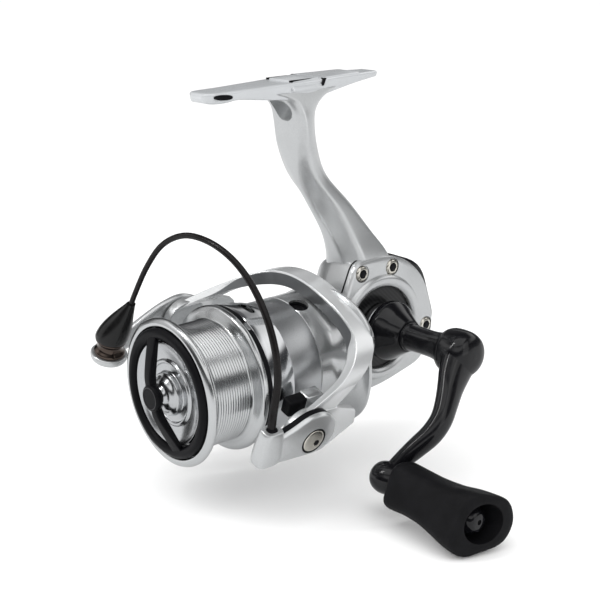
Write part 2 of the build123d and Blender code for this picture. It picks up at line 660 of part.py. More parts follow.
def knob_cap():
    return turned_x([(0, 75.0), (5.1, 75.0), (5.1, 76.6), (3.2, 76.9), (2.4, 77.9), (0.6, 77.9),
                     (0.6, 77.2), (0, 77.2)], KNOB_Y, KNOB_Z)


# ---------------------------------------------------------------- write the pieces
NODES = {
    "body_frame": body_frame,
    "side_cover": side_cover,
    "bearing_plate": bearing_plate,
    "rear_cover": rear_cover,
    "rear_cover_screw": rear_cover_screw,
    "case_screws": case_screws,
    "handle_cap": handle_cap,
    "drive_gear_bearings": drive_gear_bearings,
    "pinion_bearings": pinion_bearings,
    "bearing_retainer": bearing_retainer,
    "clutch_housing": clutch_housing,
    "clutch_rollers": clutch_rollers,
    "guide_rods": guide_rods,
    "drive_gear": drive_gear,
    "drive_gear_shaft": drive_gear_shaft,
    "handle_collar": handle_collar,
    "handle_shaft": handle_shaft,
    "handle_arm": handle_arm,
    "knob_post": knob_post,
    "knob_grip": knob_grip,
    "knob_bearings": knob_bearings,
    "knob_cap": knob_cap,
    "oscillation_gear": oscillation_gear,
    "rotor": rotor,
    "rotor_ring": rotor_ring,
    "pinion_gear": pinion_gear,
    "clutch_sleeve": clutch_sleeve,
    "rotor_nut": rotor_nut,
    "nut_retainer": nut_retainer,
    "retainer_screw": retainer_screw,
    "balance_screw": balance_screw,
    "bail_spring_cover": bail_spring_cover,
    "bail_spring": bail_spring,
    "spring_rod": spring_rod,
    "pivot_bolt_near": lambda: pivot_bolt(1),
    "pivot_bolt_far": lambda: pivot_bolt(-1),
    "bail_holder": bail_holder,
    "bail_lever": bail_lever,
    "bail_wire": bail_wire,
    "line_cone": line_cone,
    "roller_screw": roller_screw,
    "line_roller": line_roller,
    "roller_bearing": roller_bearing,
    "main_shaft": main_shaft,
    "slider_block": slider_block,
    "spool_sleeve": spool_sleeve,
    "spool": spool,
    "line_clip": line_clip,
    "drag_washers": drag_washers,
    "drag_retainer": drag_retainer,
    "click_gear": click_gear,
    "drag_knob": drag_knob,
    "drag_dish": drag_dish,
    "drag_nut": drag_nut,
    "drag_spring": drag_spring,
}


def main():
    os.makedirs("parts", exist_ok=True)
    to_seat = Location((0, -SEAT_Y, -SEAT_Z))
    for name, make in NODES.items():
        made = make()
        pieces = made if isinstance(made, list) else made.solids()
        placed = [piece.moved(to_seat) for piece in pieces]
        shape = placed[0] if len(placed) == 1 else Compound(children=placed)
        export_step(shape, f"parts/{name}.step")


main()
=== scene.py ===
import json
import math

import bmesh
import bpy
from mathutils import Matrix, Vector


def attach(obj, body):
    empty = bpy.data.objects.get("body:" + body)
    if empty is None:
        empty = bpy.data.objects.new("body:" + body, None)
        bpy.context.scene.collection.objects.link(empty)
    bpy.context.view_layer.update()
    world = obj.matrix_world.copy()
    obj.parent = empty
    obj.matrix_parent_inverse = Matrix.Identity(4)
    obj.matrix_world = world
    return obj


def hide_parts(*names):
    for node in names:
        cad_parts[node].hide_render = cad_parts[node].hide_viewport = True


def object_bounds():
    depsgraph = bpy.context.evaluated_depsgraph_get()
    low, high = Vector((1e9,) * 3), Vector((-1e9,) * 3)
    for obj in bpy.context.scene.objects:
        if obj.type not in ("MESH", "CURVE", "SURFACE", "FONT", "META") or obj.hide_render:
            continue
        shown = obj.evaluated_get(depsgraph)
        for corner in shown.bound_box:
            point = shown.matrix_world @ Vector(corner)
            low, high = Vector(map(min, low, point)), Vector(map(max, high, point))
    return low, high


# A spinning reel. The CAD frame carries every moving part; this script gives each part its
# finish and adds the finer shapes. Positions are in millimetres about the spool axis, with the
# front of the drag ring at y = 0, and mm() turns them into the frame's metres.

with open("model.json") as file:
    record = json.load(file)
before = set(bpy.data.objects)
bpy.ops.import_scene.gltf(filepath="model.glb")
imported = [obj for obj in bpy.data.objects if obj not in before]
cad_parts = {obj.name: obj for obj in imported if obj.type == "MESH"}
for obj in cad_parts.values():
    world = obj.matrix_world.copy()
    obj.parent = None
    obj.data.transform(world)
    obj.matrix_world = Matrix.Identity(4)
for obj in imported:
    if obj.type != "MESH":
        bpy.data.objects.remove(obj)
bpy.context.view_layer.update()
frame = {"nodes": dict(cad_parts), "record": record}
NODES = frame["nodes"]

SEAT_Y = 60.0
SEAT_Z = 84.4
CRANK = (0.0, 75.1, 5.05)
HANDLE_FALL = math.radians(46.0)
HANDLE_REACH = 42.6
ROTOR_TURN = math.radians(20.0)


def mm(x, y, z):
    """A place in millimetres about the spool axis, in the frame's metres."""
    return Vector((x, y - SEAT_Y, z - SEAT_Z)) / 1000.0


# ---------------------------------------------------------------- materials
def new_material(name, base, metallic=0.0, roughness=0.4, coat=0.0, coat_roughness=0.1,
                 specular=0.5, anisotropic=0.0):
    material = bpy.data.materials.new(name)
    material.use_nodes = True
    shader = material.node_tree.nodes["Principled BSDF"]
    shader.inputs["Base Color"].default_value = (*base, 1.0)
    shader.inputs["Metallic"].default_value = metallic
    shader.inputs["Roughness"].default_value = roughness
    shader.inputs["Coat Weight"].default_value = coat
    shader.inputs["Coat Roughness"].default_value = coat_roughness
    shader.inputs["Specular IOR Level"].default_value = specular
    shader.inputs["Anisotropic"].default_value = anisotropic
    return material, material.node_tree, shader


def connect(tree, socket, value):
    """Sets a socket to a number or a colour, or links it to another node's output."""
    if isinstance(value, (float, tuple)):
        socket.default_value = value
    else:
        tree.links.new(value, socket)


def maths(tree, operation, *values):
    made = tree.nodes.new("ShaderNodeMath")
    made.operation = operation
    for socket, value in zip(made.inputs, values):
        connect(tree, socket, value)
    return made.outputs[0]


def mix(tree, factor, first, second, blend="MIX"):
    made = tree.nodes.new("ShaderNodeMix")
    made.data_type = "RGBA"
    made.blend_type = blend
    for socket, value in zip((made.inputs[0], made.inputs[6], made.inputs[7]), (factor, first, second)):
        connect(tree, socket, value)
    return made.outputs[2]


def coordinates(tree):
    """Object coordinates in millimetres."""
    place = tree.nodes.new("ShaderNodeTexCoord")
    mapping = tree.nodes.new("ShaderNodeMapping")
    mapping.inputs["Scale"].default_value = (1000.0, 1000.0, 1000.0)
    tree.links.new(place.outputs["Object"], mapping.inputs["Vector"])
    return mapping.outputs["Vector"]


def noise(tree, vector, scale, detail=3.0, rough=0.5):
    texture = tree.nodes.new("ShaderNodeTexNoise")
    texture.inputs["Scale"].default_value = scale
    texture.inputs["Detail"].default_value = detail
    texture.inputs["Roughness"].default_value = rough
    tree.links.new(vector, texture.inputs["Vector"])
    return texture.outputs["Fac"]


def ramp(tree, value, stops):
    """A colour ramp from (position, colour) stops."""
    made = tree.nodes.new("ShaderNodeValToRGB")
    bar = made.color_ramp
    while len(bar.elements) < len(stops):
        bar.elements.new(0.5)
    for element, (position, colour) in zip(bar.elements, stops):
        element.position = position
        element.color = (*colour, 1.0)
    tree.links.new(value, made.inputs["Fac"])
    return made.outputs["Color"]


def spread(tree, value, low, high):
    """Maps a 0 to 1 value to low to high."""
    made = tree.nodes.new("ShaderNodeMapRange")
    made.inputs["To Min"].default_value = low
    made.inputs["To Max"].default_value = high
    tree.links.new(value, made.inputs["Value"])
    return made.outputs["Result"]


def bump(tree, shader, height, strength, distance):
    made = tree.nodes.new("ShaderNodeBump")
    made.inputs["Strength"].default_value = strength
    made.inputs["Distance"].default_value = distance
    tree.links.new(height, made.inputs["Height"])
    tree.links.new(made.outputs["Normal"], shader.inputs["Normal"])


def tint(colour, factor):
    return tuple(min(1.0, channel * factor) for channel in colour)


def vary(tree, shader, base, pattern, stops, grain, low, high):
    """Lets the colour follow one pattern, by (position, factor) stops, and the roughness another."""
    colour = ramp(tree, pattern, [(position, tint(base, factor)) for position, factor in stops])
    tree.links.new(colour, shader.inputs["Base Color"])
    tree.links.new(spread(tree, grain, low, high), shader.inputs["Roughness"])


def separate(tree, vector):
    split = tree.nodes.new("ShaderNodeSeparateXYZ")
    tree.links.new(vector, split.inputs[0])
    return split.outputs


def paint(name, base, metallic, roughness, coat):
    """Sprayed metallic lacquer: fine flakes, faint cloudiness and an orange-peel skin."""
    material, tree, shader = new_material(name, base, metallic, roughness, coat, 0.12)
    place = coordinates(tree)
    flakes = noise(tree, place, 14.0, 2.0, 0.6)
    cloud = noise(tree, place, 0.12, 2.0, 0.5)
    level = maths(tree, "MULTIPLY", maths(tree, "ADD", flakes, cloud), 0.5)
    vary(tree, shader, base, level, ((0.3, 0.936), (0.7, 1.04)), flakes, roughness - 0.05, roughness + 0.07)
    bump(tree, shader, noise(tree, place, 2.2, 2.0), 0.03, 0.0002)
    return material


def turned_metal(name, base, roughness, line_scale, anisotropic=0.5):
    """Lathe-turned metal: fine rings round the spool axis."""
    material, tree, shader = new_material(name, base, 1.0, roughness, anisotropic=anisotropic)
    split = separate(tree, coordinates(tree))
    across = tree.nodes.new("ShaderNodeCombineXYZ")
    connect(tree, across.inputs["X"], split["X"])
    connect(tree, across.inputs["Z"], maths(tree, "ADD", split["Z"], SEAT_Z))
    length = tree.nodes.new("ShaderNodeVectorMath")
    length.operation = "LENGTH"
    tree.links.new(across.outputs[0], length.inputs[0])
    radial = tree.nodes.new("ShaderNodeCombineXYZ")
    connect(tree, radial.inputs["X"], length.outputs["Value"])
    connect(tree, radial.inputs["Y"], split["Y"])
    rings = noise(tree, radial.outputs[0], line_scale, 4.0, 0.7)
    vary(tree, shader, base, rings, ((0.25, 0.93), (0.75, 1.04)), rings, roughness * 0.7, roughness * 1.4)
    return material


def plain_metal(name, base, roughness):
    """Machined or cast metal with a fine grain."""
    material, tree, shader = new_material(name, base, 1.0, roughness)
    grain = noise(tree, coordinates(tree), 6.0, 4.0, 0.6)
    vary(tree, shader, base, grain, ((0.3, 0.94), (0.7, 1.05)), grain, roughness * 0.75, roughness * 1.35)
    bump(tree, shader, grain, 0.03, 0.0001)
    return material


def gloss_black(name, base=(0.005, 0.005, 0.006), roughness=0.14, coat=0.12, specular=0.3):
    """Smooth black paint or plastic, slightly uneven in its shine."""
    material, tree, shader = new_material(name, base, 0.0, roughness, coat, 0.06, specular)
    place = coordinates(tree)
    grain = noise(tree, place, 0.7, 3.0)
    vary(tree, shader, base, grain, ((0.3, 0.8), (0.7, 1.3)), grain, roughness * 0.7, roughness * 1.5)
    bump(tree, shader, noise(tree, place, 1.6, 2.0), 0.04, 0.0002)
    return material


def moulded(name, base, roughness, scale, strength, specular=0.18):
    """Moulded plastic or rubber with a fine spark-eroded texture."""
    material, tree, shader = new_material(name, base, 0.0, roughness, specular=specular)
    place = coordinates(tree)
    fine = noise(tree, place, scale, 4.0, 0.65)
    broad = noise(tree, place, 0.25, 2.0)
    vary(tree, shader, base, broad, ((0.3, 0.82), (0.7, 1.2)), fine, roughness - 0.08, roughness + 0.1)
    bump(tree, shader, fine, strength, 0.0002)
    return material


def woven_carbon(name):
    """Black twill weave under lacquer."""
    material, tree, shader = new_material(name, (0.008, 0.008, 0.009), 0.0, 0.3, 0.15, 0.08, 0.3)
    split = separate(tree, coordinates(tree))
    total = maths(tree, "ADD", split["Y"], split["Z"])
    level = spread(tree, maths(tree, "SINE", maths(tree, "MULTIPLY", total, 4.2)), 0.0, 1.0)
    level.node.inputs["From Min"].default_value = -1.0
    colour = ramp(tree, level, [(0.2, (0.003, 0.003, 0.003)), (0.8, (0.011, 0.011, 0.012))])
    tree.links.new(colour, shader.inputs["Base Color"])
    bump(tree, shader, level, 0.1, 0.0001)
    return material


SILVER = (0.57, 0.58, 0.585)
FINISHES = {
    "painted_body": (paint, SILVER, 0.75, 0.27, 0.35),
    "satin_aluminium": (plain_metal, (0.5, 0.51, 0.52), 0.28),
    "polished_aluminium": (turned_metal, (0.62, 0.63, 0.635), 0.2, 1.6),
    "chrome": (turned_metal, (0.56, 0.57, 0.58), 0.2, 2.0, 0.3),
    "steel": (plain_metal, (0.52, 0.52, 0.54), 0.28),
    "black_metal": (gloss_black,),
    "dark_bronze": (plain_metal, (0.09, 0.07, 0.06), 0.16),
    "black_plastic": (moulded, (0.004, 0.004, 0.005), 0.38, 5.0, 0.12, 0.09),
    "gloss_black_plastic": (gloss_black, (0.004, 0.004, 0.005), 0.1, 0.15),
    "carbon_black": (woven_carbon,),
    "grip_rubber": (moulded, (0.006, 0.006, 0.007), 0.55, 3.2, 0.35, 0.12),
    "brass": (plain_metal, (0.62, 0.44, 0.2), 0.3),
    "washer_felt": (moulded, (0.12, 0.11, 0.1), 0.85, 4.0, 0.6),
    "spool_skirt": (turned_metal, (0.62, 0.63, 0.64), 0.1, 2.0),
    "rotor_paint": (paint, SILVER, 0.85, 0.2, 0.4),
    "band_paint": (paint, (0.7, 0.71, 0.715), 0.55, 0.22, 0.35),
    "foot_paint": (paint, (0.54, 0.555, 0.57), 0.25, 0.25, 0.2),
    # a darker copy of the rotor paint, used as painted shade on the hoop's front face
    "hoop_shade": (paint, (0.13, 0.135, 0.14), 0.6, 0.3, 0.2),
    "nickel": (plain_metal, (0.72, 0.69, 0.62), 0.22),
    "wire_black": (gloss_black, (0.006, 0.005, 0.005), 0.2, 0.03, 0.2),
    "cone_black": (gloss_black, (0.005, 0.005, 0.005), 0.2, 0.05),
}
MATERIALS = {name: make(name, *values) for name, (make, *values) in FINISHES.items()}

slot_of = {entry["node"]: entry["material_slot"] for entry in frame["record"]["subparts"]}
for name, obj in NODES.items():
    obj.data.materials.clear()
    obj.data.materials.append(MATERIALS[slot_of[name]])


# ---------------------------------------------------------------- shape tools
def local(points, axis, centre=(0.0, 0.0, 0.0)):
    """Puts (u, v, along) points on an axis: "x", "y" or "z", through a centre."""
    cx, cy, cz = centre
    if axis == "x":
        return [(along + cx, u + cy, v + cz) for u, v, along in points]
    if axis == "y":
        return [(u + cx, along + cy, v + cz) for u, v, along in points]
    return [(u + cx, v + cy, along + cz) for u, v, along in points]


def in_rotor(points):
    """Turns points drawn with the bail hinge along X to the rotor's clocking."""
    c, s = math.cos(ROTOR_TURN), math.sin(ROTOR_TURN)
    return [(x * c + z * s, y, z * c - x * s) for x, y, z in points]


def corner_arcs(points, steps=4):
    """Rounds a closed outline of (p, q, radius) points. Every corner gives steps + 1 points."""
    count = len(points)
    outline = []
    for index, (p, q, radius) in enumerate(points):
        here = Vector((p, q))
        before = Vector(points[index - 1][:2]) - here
        after = Vector(points[(index + 1) % count][:2]) - here
        reach = min(radius, before.length * 0.48, after.length * 0.48)
        start = here + before.normalized() * reach
        finish = here + after.normalized() * reach
        for step in range(steps + 1):
            t = step / steps
            outline.append(tuple(start * (1 - t) ** 2 + here * 2 * t * (1 - t) + finish * t ** 2))
    return outline


def inset_outline(points, distance):
    """Moves every point of a closed outline inwards, square to the outline."""
    count = len(points)
    area = sum(points[i - 1][0] * points[i][1] - points[i][0] * points[i - 1][1] for i in range(count))
    side = math.copysign(distance, area)
    moved = []
    for index, (p, q) in enumerate(points):
        before, after = points[index - 1], points[(index + 1) % count]
        run = Vector((after[0] - before[0], after[1] - before[1]))
        if run.length > 1e-9:
            run.normalize()
        moved.append((p - run.y * side, q + run.x * side))
    return moved


def cubic(keys, t):
    """A smooth curve through evenly numbered keys, at t from 0 to len(keys) - 1."""
    index = min(int(t), len(keys) - 2)
    f = t - index
    k0 = keys[max(index - 1, 0)]
    k1, k2 = keys[index], keys[index + 1]
    k3 = keys[min(index + 2, len(keys) - 1)]
    out = []
    for a, b, c, d in zip(k0, k1, k2, k3):
        out.append(0.5 * (2 * b + (c - a) * f + (2 * a - 5 * b + 4 * c - d) * f * f
                          + (3 * b - a - 3 * c + d) * f ** 3))
    return out


def between(keys, per_span):
    """Points along the curve through the keys, per_span to every span, and the last key."""
    spans = (len(keys) - 1) * per_span
    return [cubic(keys, step / per_span) for step in range(spans + 1)]


def ring_mesh(name, rings, closed=False):
    """Joins rings of equally many points, in millimetres, into a mesh whose normals point outwards."""
    count = len(rings[0])
    verts = [mm(*point) for ring in rings for point in ring]
    faces = []
    for row in range(len(rings) if closed else len(rings) - 1):
        low, high = row * count, ((row + 1) % len(rings)) * count
        for column in range(count):
            right = (column + 1) % count
            faces.append((low + column, low + right, high + right, high + column))
    if not closed:
        faces.append(tuple(range(count)))
        faces.append(tuple((len(rings) - 1) * count + i for i in range(count)))
    mesh = bpy.data.meshes.new(name)
    mesh.from_pydata(verts, [], faces)
    mesh.validate()
    tool = bmesh.new()
    tool.from_mesh(mesh)
    bmesh.ops.remove_doubles(tool, verts=tool.verts, dist=1e-7)
    bmesh.ops.recalc_face_normals(tool, faces=tool.faces)
    tool.to_mesh(mesh)
    tool.free()
    return mesh


def skin(name, rings, body, slot, replaces=(), closed=False, angle=35.0):
    """Makes a piece from rings; it rides a body and stands in for the named CAD nodes."""
    mesh = ring_mesh(name, rings, closed)
    mesh.shade_smooth()
    mesh.set_sharp_from_angle(angle=math.radians(angle))
    mesh.materials.append(MATERIALS[slot])
    piece = bpy.data.objects.new(name, mesh)
    bpy.context.scene.collection.objects.link(piece)
    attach(piece, body)
    if replaces:
        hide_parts(*replaces)
    return piece


def lathe(name, profile, body, slot, axis="y", centre=(0.0, 0.0, 0.0), replaces=(), segments=144,
          steps=4, turn=False):
    """Turns a closed outline of (radius, along, corner radius) about an axis."""
    outline = corner_arcs(profile, steps)
    rings = []
    for index in range(segments):
        angle = 2 * math.pi * index / segments
        ring = [(r * math.cos(angle), r * math.sin(angle), along) for r, along in outline]
        ring = local(ring, axis, centre)
        rings.append(in_rotor(ring) if turn else ring)
    return skin(name, rings, body, slot, replaces, closed=True)


def slab(name, outline, low, high, body, slot, axis="x", centre=(0.0, 0.0, 0.0), edge=0.3,
         replaces=(), turn=False):
    """A flat piece from an outline of (u, v, corner radius), with rounded rims."""
    flat = corner_arcs(outline, 6)
    levels = ((low, edge), (low + edge * 0.3, edge * 0.3), (low + edge, 0.0),
              (high - edge, 0.0), (high - edge * 0.3, edge * 0.3), (high, edge))
    rings = []
    for height, inset in levels:
        ring = local([(u, v, height) for u, v in inset_outline(flat, inset)], axis, centre)
        rings.append(in_rotor(ring) if turn else ring)
    return skin(name, rings, body, slot, replaces)


def cut(piece, cutters):
    """Cuts closed helper meshes out of a piece and removes them."""
    for cutter in cutters:
        change = piece.modifiers.new("cut", "BOOLEAN")
        change.operation = "DIFFERENCE"
        change.solver = "EXACT"
        change.object = cutter
        with bpy.context.temp_override(object=piece, active_object=piece):
            bpy.ops.object.modifier_apply(modifier=change.name)
        bpy.data.objects.remove(cutter)
    piece.data.shade_smooth()
    piece.data.set_sharp_from_angle(angle=math.radians(30))


def helper(name, rings):
    """A plain closed shape, only for cutting."""
    made = bpy.data.objects.new(name, ring_mesh(name, rings))
    bpy.context.scene.collection.objects.link(made)
    return made


def circle(radius, along, count=40):
    turns = [2 * math.pi * i / count for i in range(count)]
    return [(radius * math.cos(turn), radius * math.sin(turn), along) for turn in turns]


def oval(width, height, power, count, tilt=0):
    """A squarish oval as (u, v) points, tilted in degrees."""
    c, s = math.cos(math.radians(tilt)), math.sin(math.radians(tilt))
    out = []
    for index in range(count):
        angle = 2 * math.pi * index / count
        p = math.copysign(abs(math.cos(angle)) ** (2 / power), math.cos(angle)) * width / 2
        q = math.copysign(abs(math.sin(angle)) ** (2 / power), math.sin(angle)) * height / 2
        out.append((p * c - q * s, p * s + q * c))
    return out


def standing(ring, angle, y):
    """Stands (u, v, radius) points on a round face, at an angle up from the handle's side."""
    spin = math.radians(90 - angle)
    c, s = math.cos(spin), math.sin(spin)
    return [(u * c + radius * s, y + v, radius * c - u * s) for u, v, radius in ring]


def plate_rings(outline, levels, sign=1):
    """Rings of a plate that lies square to the bail hinge, at (distance, inset) levels."""
    return [in_rotor([(sign * a, y, b) for y, b in inset_outline(outline, inset)]) for a, inset in levels]


def bolt_well(low, high):
    """A cutter for the round well in which a hinge bolt's head lies."""
    hinge = (0.0, BAIL_Y, 0.0)
    return helper("bolt_well", [in_rotor(local(circle(4.2, a, 48), "x", hinge)) for a in (low, high)])


# ---------------------------------------------------------------- spool and drag knob
LIP_R = 22.0
BARREL_R = 18.0
FLANGE_R = 21.8
GROOVES = 14
SLOT_ANGLES = (81.0, 108.0, 141.0, 201.0, 228.0, 261.0)
SLOT_Y = 27.6
CLIP_ANGLE = 58.0
CLIP_Y = 21.5
BLADE_ANGLE = 107.0


def spool():
    """The spool: lip, grooved barrel, rear flange with a black seam, and a slotted skirt."""
    profile = [(19.45, 3.2, 0.1), (19.45, 0.75, 0.25), (20.2, 0.35, 0.6), (LIP_R - 0.2, 1.2, 0.8),
               (LIP_R, 2.2, 0.5), (LIP_R - 0.5, 2.75, 0.2), (20.9, 2.7, 0.1), (20.8, 3.05, 0.1),
               (20.9, 3.35, 0.2), (19.6, 3.9, 0.6), (BARREL_R + 0.35, 4.7, 0.6)]
    for index in range(GROOVES):
        start = 5.3 + 12.0 * index / GROOVES
        profile += [(BARREL_R + 0.22, start, 0.16), (BARREL_R - 0.12, start + 0.42, 0.16)]
    profile += [(BARREL_R + 0.1, 17.6, 0.3), (20.6, 18.4, 0.5), (FLANGE_R - 0.1, 18.9, 0.4),
                (FLANGE_R, 20.2, 0.3), (FLANGE_R - 0.3, 20.65, 0.2), (20.1, 20.8, 0.1),
                (18.6, 20.8, 0.2), (16.3, 19.6, 0.5), (16.3, 6.2, 0.5), (14.0, 6.2, 0.2),
                (14.0, 13.2, 0.4), (5.0, 13.2, 0.2), (5.0, 17.0, 0.2), (2.6, 17.0, 0.1),
                (2.6, 11.2, 0.2), (12.0, 11.2, 0.3), (12.0, 3.2, 0.1)]
    lathe("spool_barrel", profile, "spool_body", "polished_aluminium", replaces=["spool"], segments=192,
          steps=2)
    lathe("spool_seam", [(19.5, 20.7, 0), (21.25, 20.7, 0.1), (21.25, 22.4, 0.1), (19.5, 22.4, 0)],
          "spool_body", "black_plastic")
    skirt = lathe("spool_skirt",
                  [(20.4, 22.35, 0.1), (21.35, 22.35, 0.3), (20.9, 26.0, 4.0), (20.15, 31.2, 0.25),
                   (19.5, 31.2, 0.15), (20.0, 26.0, 4.0)],
                  "spool_body", "spool_skirt", segments=192, steps=3)
    slot = oval(7.0, 3.0, 2.6, 40)
    cut(skirt, [helper("slot_cutter", [standing([(u, v, radius) for u, v in slot], angle, SLOT_Y)
                                       for radius in (17.5, 23.0)]) for angle in SLOT_ANGLES])


def line_clip():
    """The small tab on the skirt that holds the end of the line."""
    rings = []
    for radius, size in ((20.0, 1.0), (21.3, 1.0), (21.6, 0.8)):
        tab = oval(3.0 * size, 1.3 * size, 3.0, 32)
        rings.append(standing([(u, v, radius) for u, v in tab], CLIP_ANGLE, CLIP_Y))
    skin("line_clip_tab", rings, "spool_body", "chrome", ["line_clip"])


def drag_knob():
    """The black ring with its cross bar, over a turned silver dish."""
    lathe("drag_ring",
          [(15.8, 2.9, 0.1), (15.8, 0.5, 0.4), (16.6, -0.5, 0.5), (18.0, -0.6, 0.6), (19.2, 0.3, 0.5),
           (19.2, 2.9, 0.1)],
          "drag_control", "black_plastic", replaces=["drag_knob"], steps=5)
    lathe("drag_dish_turned",
          [(0.01, -3.0, 0), (2.6, -2.9, 0.8), (3.3, -1.7, 0.5), (4.6, -1.2, 0.7), (5.4, -0.2, 0.6),
           (6.3, 0.1, 0.3), (6.5, 1.7, 0.3), (8.6, 1.9, 0.3), (8.9, 1.3, 0.3), (9.6, 1.3, 0.3),
           (10.0, 1.9, 0.3), (13.2, 1.5, 1.5), (15.3, 0.5, 0.2), (15.3, 2.9, 0.1), (0.01, 2.9, 0)],
          "drag_control", "chrome", replaces=["drag_dish"], segments=160, steps=3)
    # distance from the hub, y, width across, depth
    keys = [(2.2, -3.9, 3.0, 2.4), (6.0, -3.4, 3.3, 2.6), (10.0, -2.1, 3.9, 2.4), (13.6, -0.8, 4.4, 2.0),
            (16.8, 0.4, 4.8, 1.6)]
    for side, name in ((1, "drag_blade_up"), (-1, "drag_blade_down")):
        rings = []
        for reach, y, width, depth in between(keys, 6):
            section = corner_arcs([(-width / 2, -depth / 2, 0.6), (width / 2, -depth / 2, 0.6),
                                   (width / 2 - 0.5, depth / 2, 0.3), (-width / 2 + 0.5, depth / 2, 0.3)], 4)
            rings.append(standing([(p, q, side * reach) for p, q in section], BLADE_ANGLE, y))
        skin(name, rings, "drag_control", "black_plastic")
    lathe("drag_hub",
          [(0.01, -5.3, 0), (3.6, -5.3, 0.3), (3.95, -4.9, 0.3), (3.8, -3.3, 0.5), (0.01, -3.05, 0)],
          "drag_control", "black_plastic", steps=5)
    lathe("drag_hub_rim", [(3.0, -5.26, 0), (3.0, -5.4, 0.05), (3.3, -5.4, 0.05), (3.3, -5.26, 0)],
          "drag_control", "gloss_black_plastic")


# ---------------------------------------------------------------- handle and knob
def arm_tip():
    """Where the grip's axis meets the handle arm, as (y, z)."""
    return (CRANK[1] - HANDLE_REACH * math.cos(HANDLE_FALL), CRANK[2] - HANDLE_REACH * math.sin(HANDLE_FALL))


def handle():
    """The screwed collar, the shaft and the arm with its two rounded ends."""
    lathe("handle_ring",
          [(5.9, 9.65, 0.1), (8.0, 9.65, 0.2), (8.0, 11.4, 0.3), (7.4, 11.8, 0.2), (5.9, 11.8, 0.1)],
          "handle", "chrome", "x", CRANK)
    lathe("handle_collar_turned",
          [(2.75, 8.6, 0), (5.9, 8.6, 0.1), (5.9, 11.7, 0.1), (8.4, 12.0, 0.4), (9.3, 12.9, 0.6),
           (9.3, 15.2, 0.6), (8.5, 16.5, 0.5), (7.2, 18.4, 0.4), (4.9, 22.3, 0.3), (2.75, 22.3, 0)],
          "handle", "gloss_black_plastic", "x", CRANK, ["handle_collar"], steps=5)
    lathe("handle_shaft_turned",
          [(0.01, 22.4, 0), (4.5, 22.4, 0.2), (4.5, 23.4, 0.2), (4.15, 23.8, 0.2), (4.0, 27.0, 2.0),
           (4.0, 33.0, 2.0), (4.7, 37.0, 0.5), (4.7, 37.85, 0.2), (0.01, 37.85, 0)],
          "handle", "black_metal", "x", CRANK, ["handle_shaft"], steps=5)
    lathe("handle_hub_turned",
          [(0.01, 38.0, 0), (5.4, 38.0, 0.3), (6.4, 38.6, 0.5), (7.0, 40.2, 1.0), (7.15, 43.0, 2.0),
           (6.9, 45.8, 1.4), (5.8, 48.0, 1.4), (3.2, 49.15, 1.6), (0.01, 49.3, 0)],
          "handle", "black_metal", "x", CRANK, steps=6)
    down = Vector((0.0, -math.cos(HANDLE_FALL), -math.sin(HANDLE_FALL)))
    side = Vector((0.0, math.sin(HANDLE_FALL), -math.cos(HANDLE_FALL)))
    out = Vector((1.0, 0.0, 0.0))
    # along the arm, centre x, width across, depth in x
    keys = [(-3.0, 43.6, 9.0, 7.0), (1.0, 44.2, 12.4, 8.4), (6.0, 45.2, 11.4, 7.6), (11.0, 46.8, 9.2, 6.4),
            (16.0, 48.6, 7.8, 5.8), (21.0, 49.9, 7.2, 5.6), (26.0, 49.4, 7.0, 5.6), (31.0, 47.2, 6.6, 5.2),
            (36.0, 44.9, 5.6, 4.6), (40.0, 43.4, 4.6, 4.2), (43.5, 43.0, 3.6, 3.6)]
    path = between(keys, 5)
    rings = []
    for index, (along, x, width, depth) in enumerate(path):
        before, after = path[max(index - 1, 0)], path[min(index + 1, len(path) - 1)]
        heading = (down * (after[0] - before[0]) + out * (after[1] - before[1])).normalized()
        flat = side.cross(heading).normalized()
        centre = Vector(CRANK) + down * along + out * x
        rings.append([tuple(centre + side * u + flat * v) for u, v in oval(width, depth, 2.3, 40)])
    skin("handle_arm_forged", rings, "handle", "black_metal", ["handle_arm"], angle=60)
    tip_y, tip_z = arm_tip()
    lathe("handle_ball",
          [(0.01, 43.0 - 4.9, 0), (2.4, 43.0 - 4.5, 0.8), (4.3, 43.0 - 2.8, 1.6), (4.95, 43.0, 2.2),
           (4.3, 43.0 + 2.8, 1.6), (3.3, 43.0 + 4.6, 0.6), (0.01, 43.0 + 4.85, 0)],
          "handle", "black_metal", "x", (0.0, tip_y, tip_z), steps=6)


